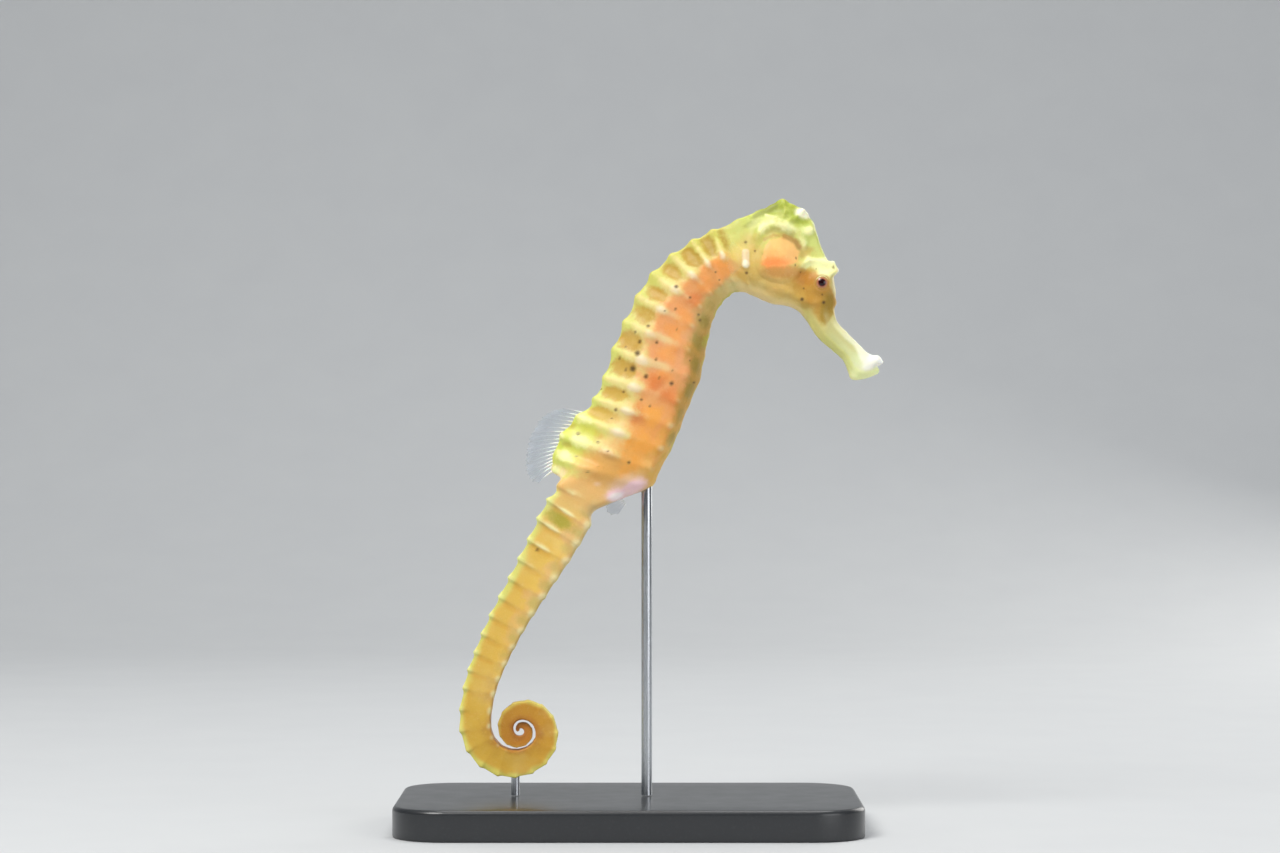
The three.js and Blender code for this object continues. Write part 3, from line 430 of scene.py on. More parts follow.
    # crest that runs from above the pectoral fin round under the crown; it swells and fades along its run
    swell = 0.75 + 0.35 * np.sin(1.9 * x + 0.8) * np.cos(1.3 * z)
    crest = line([(16.5, 76.5), (17.1, 77.6), (17.6, 78.15), (18.6, 78.2), (19.7, 78.1), (20.9, 77.7), (22.0, 77.4), (23.3, 77.35)], 0.5)
    crest = np.maximum(crest, 0.8 * line([(21.7, 77.1), (22.3, 76.4), (22.75, 75.6)], 0.55))
    h += head * 0.36 * crest * swell
    m["crest"] = head * np.clip(swell, 0, 1) * smooth(75.6, 78.0, z + 0.9 * (x - 17.2)) * np.maximum(line([(16.9, 77.2), (17.6, 78.15), (18.6, 78.2), (19.7, 78.1), (20.9, 77.7), (22.0, 77.4), (23.3, 77.35)], 0.64, 1.7), 0.8 * line([(21.7, 77.1), (22.3, 76.4), (22.75, 75.6)], 0.6, 1.7))
    upper_line = line([(17.7, 79.45), (19.2, 78.95), (20.6, 78.35)], 0.26)
    h += head * 0.2 * upper_line
    m["crest"] = np.maximum(m["crest"], 0.5 * head * upper_line)
    h -= head * 0.22 * line([(17.5, 76.9), (18.5, 77.4), (20.0, 77.3), (21.3, 76.75)], 0.36)
    # painted shade: a darker band along the groove under the crest
    m["under_crest_painted_shade"] = head * line([(17.8, 77.2), (19.0, 77.45), (20.2, 77.2), (21.2, 76.8)], 0.42)
    m["gold"] = head * np.clip(blob(22.5, 74.5, 0.8, 0.9, 2.4, 20) + 0.8 * blob(23.5, 75.0, 0.7, 0.45, 2.2, 15), 0, 1)
    m["behind"] = head * blob(15.9, 76.6, 1.0, 1.0, 2.0, 0)
    m["above"] = head * np.clip(blob(16.6, 78.3, 1.5, 0.7, 2.2, 20) + blob(18.6, 79.0, 1.6, 0.45, 2.0, 8), 0, 1)
    h -= head * 0.24 * blob(18.7, 79.95, 1.5, 0.55, 2.4, 16)
    h -= head * 0.2 * blob(22.3, 78.35, 0.9, 0.5, 2.4, -20)
    h -= head * 0.12 * blob(21.4, 79.6, 0.5, 0.5, 2.4, 0)
    h += head * 0.22 * line([(20.0, 81.2), (20.3, 80.2), (20.1, 79.4)], 0.3)
    h += head * 0.2 * line([(22.4, 79.8), (21.6, 79.0), (20.6, 78.7)], 0.28)
    # ridge from the crown down the forehead to the brow
    h += head * 0.16 * line([(23.6, 78.0), (24.5, 76.0), (25.2, 74.4)], 0.42)
    h -= head * 0.12 * blob(23.3, 75.6, 0.6, 1.0, 2.2, -10)
    # brow: a ridge over the eye that ends in the spine
    brow = line([(22.3, 72.95), (23.2, 73.45), (24.3, 73.4), (25.5, 73.15), (26.4, 72.8)], 0.46)
    h += head * (0.38 * brow + 0.22 * blob(23.1, 73.5, 0.42, 0.36) + 0.16 * blob(25.2, 72.3, 1.3, 0.85, 2.6, -18))
    m["brow"] = front * (U > 6.2) * smooth(0.2, 0.7, ay) * patch([(22.1, 72.6), (22.5, 73.3), (23.2, 73.95), (24.2, 73.75), (25.2, 73.9), (26.9, 74.0), (27.8, 72.8), (27.4, 71.7), (26.6, 71.25), (25.2, 71.35), (24.5, 71.6), (24.35, 72.4), (23.5, 72.85), (22.9, 72.5)], 0.55)
    m["brow_side"] = front * (U > 6.2) * (U < 11) * patch([(25.9, 72.3), (28.0, 72.3), (28.0, 68.9), (26.8, 68.8), (26.35, 69.5), (26.0, 70.3), (25.95, 71.4)], 0.45)
    # cheek: hollow in front of the gill cover, and a low ridge from under the eye to the throat
    h -= head * 0.24 * blob(22.9, 71.3, 0.85, 1.6, 2.4, -20)
    h += head * 0.13 * line([(25.3, 68.3), (23.4, 68.0), (21.5, 68.8), (19.6, 70.0)], 0.5)
    h -= head * 0.09 * line([(17.2, 71.2), (19.4, 70.35), (21.6, 69.9), (23.6, 69.2)], 0.45)
    h -= head * 0.12 * blob(26.0, 67.3, 0.5, 1.2, 2.2, -8)
    m["cheek"] = head * np.clip(blob(22.7, 70.7, 2.3, 2.0, 2.6, -20) + 0.8 * blob(24.9, 67.5, 1.3, 2.4, 3.0, -16), 0, 1)
    # painted shade: deeper ochre in the cheek's hollow
    m["cheek_hollow_painted_shade"] = head * blob(22.9, 71.3, 1.5, 1.2, 2.4, 0)
    m["bridge_olive"] = head * np.clip(blob(25.9, 67.7, 1.2, 1.7, 2.6, -6) + 0.8 * blob(25.5, 66.1, 0.9, 1.2, 2.6, -12), 0, 1)
    wedge = front * smooth(5.3, 7.0, U + 0.5 * lump) * (U < 11.5) * patch([(21.6, 71.0), (24.0, 72.0), (27.4, 71.6), (27.4, 67.6), (26.8, 66.2), (26.0, 65.0), (25.1, 65.5), (24.1, 67.1), (22.5, 69.1)], 1.2)
    m["cheek"] = np.maximum(m["cheek"] * 0.9, wedge)
    # bump on the bridge of the nose, on the median line
    median = 1 - smooth(0.3, 0.95, ay)
    nose = median * np.exp(-(np.hypot(x - 27.1, z - 68.05) / 0.42) ** 2) * (U < 11)
    h += 0.26 * nose
    m["nose"] = nose
    # snout: dorsal ridge pair and a shallow groove along the side
    snout = (1 - smooth(6.0, 7.4, U)) * smooth(1.2, 2.4, U)
    groove = np.exp(-((T - 1.75) / 0.3) ** 2)
    h += snout * (0.08 * np.exp(-((T - 1.05) / 0.3) ** 2) - 0.06 * groove + 0.05 * np.exp(-((T - 2.6) / 0.3) ** 2))
    m["snout"] = (1 - smooth(5.6, 7.0, U + 0.6 * (T - 1.2))) * (1 - 0.9 * np.clip(wedge * 1.3, 0, 1))
    m["snout_top"] = (1 - smooth(5.3, 7.1, U + 0.5 * lump)) * (1 - smooth(1.05, 1.9, T + 0.12 * drift - 0.35 * (1 - smooth(1.2, 3.2, U)))) * (1 - 0.95 * np.clip(wedge * 1.3, 0, 1))
    # painted shade: the groove along the snout's side is painted darker
    m["snout_groove_painted_shade"] = (1 - smooth(6.0, 7.6, U)) * smooth(2.0, 3.2, U) * groove
    m["snout_low"] = (1 - smooth(6.0, 8.4, U)) * smooth(2.2, 2.8, T)
    m["lips"] = (1 - smooth(0.9, 1.9, U)) * (1 - smooth(1.9, 2.6, T))
    m["chin"] = (1 - smooth(1.2, 2.4, U)) * smooth(2.1, 2.7, T)
    m["throat"] = front * smooth(2.75, 3.5, T) * smooth(6, 8, U)
    # crown knobs and the hollows between them
    for cx, cy, cz, r0, up in ((23.85, 0.0, 78.45, 0.7, 0.26), (22.4, 1.15, 79.8, 0.7, 0.36), (19.8, 0.95, 81.3, 0.7, 0.34), (21.2, 1.15, 80.6, 0.45, 0.14), (18.3, 0.8, 80.7, 0.45, 0.12), (17.2, 0.5, 80.2, 0.4, 0.1)):
        d = np.sqrt((x - cx) ** 2 + (ay - cy) ** 2 + (z - cz) ** 2)
        h += up * np.exp(-(d / r0) ** 2) * (U < 12)
    h -= 0.3 * (1 - smooth(0.15, 0.7, ay)) * smooth(79.2, 80.2, z) * (x < 22.3) * (x > 18.2) * (U < 12)
    for cx, cy, cz, r0, up in ((19.3, 0.35, 81.6, 0.28, 0.2), (20.5, 0.75, 81.4, 0.3, 0.2), (23.0, 0.9, 79.4, 0.35, 0.16), (16.6, 0.4, 79.9, 0.35, 0.12)):
        d = np.sqrt((x - cx) ** 2 + (ay - cy) ** 2 + (z - cz) ** 2)
        h += up * np.exp(-(d / r0) ** 2) * (U < 12)
    m["crown"] = (U < 12.3) * smooth(77.7, 79.2, z + 0.1 * (x - 20)) * smooth(13.6, 15.6, x)
    m["crown_tip"] = np.clip(blob(22.5, 79.6, 1.15, 0.62, 2.4, -22) + 0.8 * blob(19.9, 81.6, 0.8, 0.45, 2.4, 0), 0, 1) * (U < 12)
    # painted shade: the crown's hollows are painted a darker olive
    m["hollow"] = np.maximum((U < 12) * (1 - smooth(0.2, 0.9, ay)) * smooth(79.4, 80.4, z) * (x < 22.3), head * (0.9 * blob(19.0, 79.95, 1.4, 0.6, 2.4, 14) + 0.6 * blob(20.6, 79.3, 0.8, 0.5, 2.4, -30)))
    # nape: an olive patch, and painted shade along the top edge
    m["nape_olive_and_painted_shade"] = front * smooth(0.1, 0.5, ay) * np.maximum(0.8 * blob(16.0, 78.35, 1.6, 0.5, 2.6, 22), line([(16.3, 79.3), (17.6, 79.95), (19.0, 80.7)], 0.42)) * (U < 13)
    # brow spines: a double knob, pushed out ahead and upwards
    s1 = np.exp(-(((z - 72.15) / 0.52) ** 2 + ((ay - 1.3) / 0.55) ** 2) ** 1.1) * (x > 25.4) * (U < 11)
    s2 = np.exp(-(((x - 26.15) / 0.42) ** 2 + ((z - 72.95) / 0.36) ** 2 + ((ay - 1.3) / 0.5) ** 2) ** 1.1) * (U < 11)
    push = s1[..., None] * np.array([1.0, 0.0, 0.10]) + s2[..., None] * np.array([0.42, 0.0, 0.62])
    h -= 0.14 * np.exp(-(((z - 72.8) / 0.2) ** 2 + ((ay - 1.3) / 0.6) ** 2)) * (x > 26.0) * (U < 11)
    m["spine"] = np.clip(s1 * (x > 26.0) + s2, 0, 1)
    # pale bar at the root of the pectoral fin
    along = smooth(72.35, 72.9, z) * (1 - smooth(74.6, 75.3, z))
    bar = np.exp(-np.power(np.abs(x - 15.1) / 0.5, 3)) * along * lateral * (ay > 1.5) * (np.abs(U - 12) < 1.6)
    h += 0.2 * bar
    m["bar"] = bar
    m["bar_bright"] = np.exp(-(np.hypot((x - 15.1) / 0.5, (z - 73.05) / 0.55)) ** 2.4) * lateral * (np.abs(U - 12) < 1.6)
    m["bar_yellow"] = lateral * np.exp(-(np.hypot((x - 14.0) / 1.0, (z - 74.6) / 1.2)) ** 2.4) * (np.abs(U - 12.2) < 2)
    # eye turret
    re = np.hypot(x - EYE_X, z - EYE_Z)
    eye = lateral * (U < 11) * (x > 20)
    m["eye_ring"] = eye * np.exp(-((re - LID - 0.08) / 0.2) ** 2)
    # a little unevenness everywhere but round the eye
    h += 0.045 * lump * (1 - 0.8 * eye * np.exp(-(re / 1.8) ** 4)) * np.interp(U, [0, 2, 40, 61.5], [0.5, 1, 0.7, 0.2])
    return h, m, re, eye, push


# ------------------------------------------------------------------ build the grid, displace it, close its ends
def normals_of(p):
    du = np.gradient(p, axis=0)
    dt = np.roll(p, -1, 1) - np.roll(p, 1, 1)
    n = np.cross(du, dt)
    l = np.linalg.norm(n, axis=2, keepdims=True)
    n = n / np.maximum(l, 1e-9)
    c = p.mean(1, keepdims=True)
    if np.sum(n * (p - c)) < 0:
        n = -n
    return n


SPOTS = [  # dark freckles: x, z, radius, on the right side; the left side carries the same ones a little shifted
    (15.1, 75.9, .3), (15.2, 71.9, .3), (16.3, 74.7, .24), (17.2, 74.4, .16), (21.6, 73.8, .22), (21.5, 72.9, .2), (22.2, 72.0, .18),
    (22.6, 69.9, .2), (22.4, 68.5, .34), (25.2, 68.1, .34), (25.0, 69.1, .2), (26.5, 72.6, .26), (25.45, 71.35, .14), (24.2, 72.4, .13),
    (6.1, 70.1, .38), (7.9, 68.7, .26), (6.0, 67.2, .26), (9.0, 66.5, .28), (9.2, 65.8, .3), (11.2, 72.0, .2), (2.5, 65.0, .34), (0.8, 64.2, .28),
    (1.4, 63.0, .36), (3.6, 62.9, .3), (-0.4, 62.4, .2), (1.1, 61.5, .52), (-1.2, 60.9, .28), (3.5, 60.7, .28), (0.5, 59.5, .6), (-0.4, 59.4, .3),
    (2.2, 58.5, .42), (5.6, 59.2, .2), (3.9, 58.3, .26), (5.5, 57.6, .4), (8.4, 57.7, .26), (7.9, 60.6, .2), (6.2, 64.6, .2), (-0.7, 56.5, .26), (1.6, 55.5, .28),
    (2.7, 54.7, .24), (-1.7, 54.2, .3), (-2.2, 53.1, .2), (-6.6, 51.1, .34), (-4.0, 50.0, .28), (-2.7, 48.9, .24), (-6.8, 48.2, .2), (0.0, 47.4, .3), (-5.3, 46.2, .24), (-4.0, 46.8, .16),
    (-11.8, 36.1, .32), (11.7, 71.0, .2), (4.6, 66.9, .18), (-3.6, 56.9, .2)]


def spot_mask(x, y, z):
    out = np.zeros_like(x)
    for i, (sx, sz, sr) in enumerate(SPOTS):
        j = 0.55 * math.sin(i * 12.9898 + 1.3), 0.55 * math.cos(i * 78.233 + 0.7)
        for side, ox, oz in ((-1, 0, 0), (1, j[0], j[1])):
            d = np.hypot(x - sx - ox, z - sz - oz)
            out = np.maximum(out, np.exp(-(d / (sr * 0.74)) ** 2.6) * (y * side > 0.3) * min(1.0, 0.6 + sr))
    return out


def make_skin():
    ua, ub, uc = axis_stations()
    blocks = []
    for u, counts, smooths in ((ua, COUNTS_A, (26, 13, 12)), (np.r_[25 - 1e-6, ub[1:]], COUNTS_B, (7, 4, 4)), (uc, COUNTS_C, (2, 2, 2))):
        p, t, side = base_points(u, counts, *smooths)
        blocks.append([u, p, t, side])
    # the second block starts on the first one's smoothing, so that no step shows where they join
    pa = blocks[0][1]
    for i, (hi, lo) in enumerate(((blocks[0], blocks[1]), (blocks[1], blocks[2]))):
        join = lo[0][0]
        p_hi, _, _ = base_points(lo[0][:30], (COUNTS_A, COUNTS_B)[i], *((26, 13, 12), (7, 4, 4))[i])
        w = (1 - smooth(0, 1, (lo[0][:30] - join) / 1.5))[:, None, None]
        lo[1][:30] = p_hi[:, ::2] * w + lo[1][:30] * (1 - w)
    verts, masks, coords, rows = [], [], [], []
    start = 0
    for u, p, t, side in blocks:
        n = loop_smooth(normals_of(p), {2 * sum(COUNTS_A): 14, 2 * sum(COUNTS_B): 8}.get(p.shape[1], 3))
        n /= np.linalg.norm(n, axis=2, keepdims=True)
        h, m, re, eye, push = fields(u, p, t, side)
        q = p + n * h[..., None] + push
        chin = np.exp(-((u - 1.3) / 0.55) ** 2)[:, None] * smooth(2.7, 3.7, t)[None, :]
        q = q + chin[..., None] * np.array([-0.36, 0.0, -0.16])
        # eye turret: the skin rises to the lid round the ball, and runs on behind the ball
        y = q[..., 1]
        ball = EYE_Y + np.sqrt(np.clip(EYE_R ** 2 - re ** 2, 0.02, None))
        lid = np.interp(re, [0, LID - 0.06, LID, LID + 0.06, LID + 0.16, 1.3, 1.6, 2.2], [0, 0, 2.695, 2.70, 2.675, 2.58, 2.47, 2.3])
        target = np.where(re < LID, np.minimum(ball - 0.02 - 0.35 * smooth(LID - 0.01, LID - 0.19, re), 2.68), lid)
        w = eye * (1 - smooth(1.05, 2.1, re))
        q[..., 1] = np.where(np.abs(y) > 0.4, np.sign(y) * (np.abs(y) * (1 - w) + np.maximum(target, np.where(re > LID + 0.06, np.abs(y), 0)) * w), y)
        # lips: the upper one juts out most, and the corners of the mouth run back
        fade = np.clip(1 - u / 0.75, 0, 1)[:, None]
        jut = np.interp(t, [0, 0.9, 1.35, 1.95, 2.25, 2.7, 3, 4], [0.34, 0.34, 0.22, -0.42, -0.46, 0.06, 0.2, 0.22])[None, :]
        q = q + (fade ** 1.3 * jut)[..., None] * np.array([0.80, 0.0, -0.60])
        # the spots are on the flanks; on the flat back, seen edge-on in the photo, they would smear into dashes
        spots = spot_mask(q[..., 0], q[..., 1], q[..., 2])
        m["spot"] = spots * np.maximum(smooth(0.82, 1.05, t)[None, :], (u < 12)[:, None])
        arc = np.r_[0, np.cumsum(np.linalg.norm(np.diff(p, axis=0), axis=2).mean(1))]
        rows.append((start, len(u), p.shape[1]))
        start += len(u) * p.shape[1]
        verts.append(q.reshape(-1, 3))
        U = np.broadcast_to(u[:, None], p.shape[:2]).ravel()
        T = np.broadcast_to(t[None, :], p.shape[:2]).ravel()
        coords.append(np.stack([U, T], 1))
        masks.append({k: np.broadcast_to(v, p.shape[:2]).ravel() for k, v in m.items()})
    faces = []
    for s, nu, na in rows:
        i, j = np.meshgrid(np.arange(nu - 1), np.arange(na), indexing="ij")
        a = s + i * na + j
        b = s + i * na + (j + 1) % na
        faces.append(np.stack([a, b, b + na, a + na], -1).reshape(-1, 4))
    quads = np.concatenate(faces)
    tris = []
    for (s0, n0, a0), (s1, n1, a1) in zip(rows[:-1], rows[1:]):
        top = s0 + (n0 - 1) * a0
        for j in range(a1):
            p0, p1, p2 = top + 2 * j, top + 2 * j + 1, top + (2 * j + 2) % a0
            q0, q1 = s1 + j, s1 + (j + 1) % a1
            tris += [(p0, p1, q0), (p1, q1, q0), (p1, p2, q1)]
    V = np.concatenate(verts)
    UT = np.concatenate(coords)
    M = {k: np.concatenate([m[k] for m in masks]) for k in masks[0]}
    # tail tip: one closing point
    s, nu, na = rows[-1]
    last = s + (nu - 1) * na
    tip = V[last:last + na].mean(0) + (V[last:last + na].mean(0) - V[last - na:last].mean(0)) * 0.8
    V = np.vstack([V, tip])
    UT = np.vstack([UT, [END, 0]])
    M = {k: np.append(v, v[last]) for k, v in M.items()}
    for j in range(na):
        tris.append((last + j, last + (j + 1) % na, len(V) - 1))
    # lips: rows that turn in over the rim and go down into the mouth
    na = rows[0][2]
    lip = V[:na].copy()
    centre = lip.mean(0)
    nxt = V[na * 3:na * 4].mean(0)
    fwd = centre - nxt
    fwd /= np.linalg.norm(fwd)
    upv = V[0] - V[na // 2]
    upv /= np.linalg.norm(upv)
    prev = 0
    rel = lip - centre
    sv = rel @ upv
    for scale, push in ((0.93, 0.10), (0.82, 0.15), (0.68, 0.12), (0.52, -0.02), (0.38, -0.3), (0.26, -0.75), (0.12, -1.1)):
        # the gape is a slot across the snout: the ring flattens as it goes in
        flat = np.interp(scale, [0, 0.6, 1], [0.5, 0.85, 1])
        ring = centre + rel * scale
        ring = ring - upv * (sv * scale * (1 - flat))[:, None]
        ring = ring + fwd * push
        base = len(V)
        V = np.vstack([V, ring])
        UT = np.vstack([UT, np.stack([np.full(na, 0.0), UT[:na, 1]], 1)])
        M = {k: np.append(v, v[:na] if k != "mouth" else 0) for k, v in M.items()}
        for j in range(na):
            a, b = prev + j, prev + (j + 1) % na
            tris.append((b, a, base + j))
            tris.append((b, base + j, base + (j + 1) % na))
        prev = base
        M_mouth_from = base
    V = np.vstack([V, centre - fwd * 1.2])
    UT = np.vstack([UT, [0, 0]])
    M = {k: np.append(v, v[0]) for k, v in M.items()}
    for j in range(na):
        tris.append((prev + (j + 1) % na, prev + j, len(V) - 1))
    depth_in = (V - centre) @ fwd
    # painted shade: the inside of the mouth is painted dark, darker the deeper in
    M["mouth"] = np.where((np.arange(len(V)) >= len(UT) - 1 - 7 * na) & (UT[:, 0] <= 0), smooth(-0.05, -0.7, depth_in), 0.0)
    return V, quads, np.array(tris), UT, M


def bake_map(ob, V, quads, tris, UT):
    """The map OFBake: the body unrolled in lengths, cut along the keel, with the mouth as a patch of its own."""
    ua, ub, uc = axis_stations()
    x = np.zeros((len(V), 2))  # distance round the body from the mid-back: as a point of the near side and of the far side
    y = np.zeros(len(V))
    kind = np.full(len(V), -1)  # the point's column, so that a face knows which side it lies on
    start, run, last = 0, 0.0, None
    for u, counts in ((ua, COUNTS_A), (ub, COUNTS_B), (uc, COUNTS_C)):
        na = 2 * sum(counts)
        for _ in u:
            ring = V[start:start + na]
            step = np.linalg.norm(np.roll(ring, -1, 0) - ring, axis=1)
            total = step.sum()
            cum = np.r_[0, np.cumsum(step)[:-1]]
            x[start:start + na, 0], x[start:start + na, 1] = cum, cum - total
            x[start, 1] = 0.0
            kind[start:start + na] = np.arange(na) * 2 - na  # below 0: first half, 0: keel, above 0: second half
            mid = ring.mean(0)
            run += 0 if last is None else np.linalg.norm(mid - last)
            last = mid
            y[start:start + na] = run
            start += na
    tip = start
    kind[tip], y[tip] = 10 ** 6, run + 0.4
    edges = [0, 6.6, 12, 16, 20, 25, 33, 44, 70]
    polys = [quads, tris]
    spots, charts = [], []
    na = 2 * sum(COUNTS_A)
    lip = V[:na]
    centre = lip.mean(0)
    fwd = centre - V[na * 3:na * 4].mean(0)
    fwd /= np.linalg.norm(fwd)
    upv = V[0] - V[na // 2]
    upv -= fwd * (upv @ fwd)
    upv /= np.linalg.norm(upv)
    sidev = np.cross(fwd, upv)
    for f in polys:
        second = ((kind[f] > 0) & (kind[f] < 10 ** 6)).any(1)
        xs = np.where(second[:, None], x[f][..., 1], x[f][..., 0])
        ys = y[f].copy()
        at_tip = f == tip
        if at_tip.any():
            mean = np.where(at_tip, 0, xs).sum(1) / 2
            xs = np.where(at_tip, mean[:, None], xs)
        mouth = (f > tip).any(1)
        rel = V[f] - centre
        xs = np.where(mouth[:, None], rel @ sidev, xs)
        ys = np.where(mouth[:, None], rel @ upv, ys)
        mean_u = UT[f, 0].mean(1)
        chart = np.clip(np.searchsorted(edges, mean_u, side="right") - 1, 0, len(edges) - 2)
        chart = np.where(mouth, len(edges) - 1, chart)
        spots.append(np.stack([xs, ys], -1))
        charts.append(chart)
    n_charts = len(edges)
    boxes = []
    for c in range(n_charts):
        pts = np.concatenate([s[ch == c].reshape(-1, 2) for s, ch in zip(spots, charts)])
        boxes.append((pts.min(0), pts.max(0)))
    gap = 0.7
    sizes = [tuple(hi - lo + 2 * gap) for lo, hi in boxes]
    order = sorted(range(n_charts), key=lambda c: -min(sizes[c]))

    def place(width):
        """Shelves of the patches, each lying on its longer side."""
        at, cx, cy, tall = {}, 0.0, 0.0, 0.0
        for c in order:
            w, h = max(sizes[c]), min(sizes[c])
            if cx and cx + w > width:
                cx, cy, tall = 0.0, cy + tall, 0.0
            at[c] = (cx, cy)
            cx, tall = cx + w, max(tall, h)
        return at, cy + tall
    widest = max(max(s) for s in sizes)
    best = min(np.linspace(widest, widest * 3, 60), key=lambda w: max(w, place(w)[1]))
    at, height = place(best)
    full = max(best, height)
    out = []
    for s, ch in zip(spots, charts):
        uv = np.zeros_like(s)
        for c in range(n_charts):
            sel = ch == c
            q = s[sel] - boxes[c][0] + gap
            if sizes[c][0] < sizes[c][1]:
                q = q[..., ::-1]
            uv[sel] = (q + np.array(at[c])) / full
        out.append(uv.reshape(-1, 2))
    layer = ob.data.uv_layers.new(name="OFBake")
    layer.data.foreach_set("uv", np.concatenate(out).astype(np.float32).ravel())


def signed_volume(V, quads, tris):
    t = np.vstack([quads[:, [0, 1, 2]], quads[:, [0, 2, 3]], tris])
    a, b, c = V[t[:, 0]], V[t[:, 1]], V[t[:, 2]]
    return np.einsum("ij,ij->i", a, np.cross(b, c)).sum() / 6


def mesh_object(name, V, quads, tris, smooth_shade=True):
    me = bpy.data.meshes.new(name)
    nq, nt = len(quads), len(tris)
    me.vertices.add(len(V))
    me.vertices.foreach_set("co", (np.asarray(V, np.float32) * MM).ravel())
    me.loops.add(nq * 4 + nt * 3)
    idx = np.concatenate([np.asarray(quads, np.int32).ravel(), np.asarray(tris, np.int32).ravel()]) if nt else np.asarray(quads, np.int32).ravel()
    me.loops.foreach_set("vertex_index", idx)
    me.polygons.add(nq + nt)
    start = np.concatenate([np.arange(nq) * 4, nq * 4 + np.arange(nt) * 3]).astype(np.int32)
    me.polygons.foreach_set("loop_start", start)
    me.update(calc_edges=True)
    me.validate()
    if smooth_shade:
        me.polygons.foreach_set("use_smooth", np.ones(len(me.polygons), bool))
    ob = bpy.data.objects.new(name, me)
    bpy.context.scene.collection.objects.link(ob)
    return ob


def attribute(ob, name, values):
    a = ob.data.attributes.new(name, "FLOAT", "POINT")
    a.data.foreach_set("value", np.asarray(values, np.float32))


# ------------------------------------------------------------------ material helpers
def srgb(hexcode, alpha=1.0):
    c = [int(hexcode[i:i + 2], 16) / 255 for i in (1, 3, 5)]
    return tuple((v / 12.92 if v <= 0.04045 else ((v + 0.055) / 1.055) ** 2.4) for v in c) + (alpha,)


class Nodes:
    """Small helper that adds nodes to one material."""

    def __init__(self, name):
        self.mat = bpy.data.materials.new(name)
        self.mat.use_nodes = True
        self.t = self.mat.node_tree
        self.t.nodes.clear()
        self.out = self.t.nodes.new("ShaderNodeOutputMaterial")
        self.bsdf = self.t.nodes.new("ShaderNodeBsdfPrincipled")
        self.t.links.new(self.bsdf.outputs[0], self.out.inputs["Surface"])
        self._co = None

    def new(self, kind, **props):
        n = self.t.nodes.new(kind)
        for k, v in props.items():
            setattr(n, k, v)
        return n

    def link(self, a, b):
        self.t.links.new(a, b)

    def put(self, socket, value):
        if isinstance(value, bpy.types.NodeSocket):
            self.link(value, socket)
        else:
            socket.default_value = value

    def attr(self, name):
        n = self.new("ShaderNodeAttribute", attribute_name=name, attribute_type="GEOMETRY")
        return n.outputs["Fac"]

    def co(self):
        if self._co is None:
            self._co = self.new("ShaderNodeTexCoord").outputs["Object"]
        return self._co

    def noise(self, scale, detail=3.0, rough=0.55, stretch=None, distortion=0.0, offset=(0, 0, 0)):
        m = self.new("ShaderNodeMapping")
        self.link(self.co(), m.inputs["Vector"])
        m.inputs["Scale"].default_value = stretch or (1, 1, 1)
        m.inputs["Location"].default_value = offset
        n = self.new("ShaderNodeTexNoise")
        self.link(m.outputs[0], n.inputs["Vector"])
        n.inputs["Scale"].default_value = scale
        n.inputs["Detail"].default_value = detail
        n.inputs["Roughness"].default_value = rough
        n.inputs["Distortion"].default_value = distortion
        return n.outputs["Fac"]

    def voronoi(self, scale, feature="F1", randomness=1.0):
        n = self.new("ShaderNodeTexVoronoi", feature=feature)
        self.link(self.co(), n.inputs["Vector"])
        n.inputs["Scale"].default_value = scale
        n.inputs["Randomness"].default_value = randomness
        return n.outputs["Distance"]

    def math(self, op, a, b=0.0, clamp=False):
        n = self.new("ShaderNodeMath", operation=op, use_clamp=clamp)
        self.put(n.inputs[0], a)
        self.put(n.inputs[1], b)
        return n.outputs[0]

    def rng(self, v, a, b, c=0.0, d=1.0, kind="SMOOTHSTEP"):
        n = self.new("ShaderNodeMapRange", interpolation_type=kind)
        self.put(n.inputs["Value"], v)
        n.inputs["From Min"].default_value, n.inputs["From Max"].default_value = a, b
        n.inputs["To Min"].default_value, n.inputs["To Max"].default_value = c, d
        return n.outputs[0]

    def mixf(self, fac, a, b):
        n = self.new("ShaderNodeMix", data_type="FLOAT")
        self.put(n.inputs[0], fac)
        self.put(n.inputs[2], a)
        self.put(n.inputs[3], b)
        return n.outputs[0]

    def ramp(self, v, stops, kind="LINEAR"):
        n = self.new("ShaderNodeValToRGB")
        n.color_ramp.interpolation = kind
        e = n.color_ramp.elements
        while len(e) < len(stops):
            e.new(0.5)
        for el, (pos, col) in zip(e, sorted(stops)):
            el.position = pos
            el.color = srgb(col) if isinstance(col, str) else col
        self.put(n.inputs["Fac"], v)
        return n.outputs["Color"]

    def mix(self, fac, a, b, mode="MIX"):
        n = self.new("ShaderNodeMix", data_type="RGBA", blend_type=mode)
        n.clamp_factor = True
        self.put(n.inputs[0], fac)
        for s, v in ((n.inputs[6], a), (n.inputs[7], b)):
            self.put(s, srgb(v) if isinstance(v, str) else v)
        return n.outputs[2]

    def bump(self, height, strength, distance, normal=None):
        n = self.new("ShaderNodeBump")
        n.inputs["Strength"].default_value = strength
        n.inputs["Distance"].default_value = distance
        self.link(height, n.inputs["Height"])
        if normal is not None:
            self.link(normal, n.inputs["Normal"])
        return n.outputs[0]

    def set(self, **values):
        for k, v in values.items():
            self.put(self.bsdf.inputs[k.replace("_", " ")], v)
        return self.mat


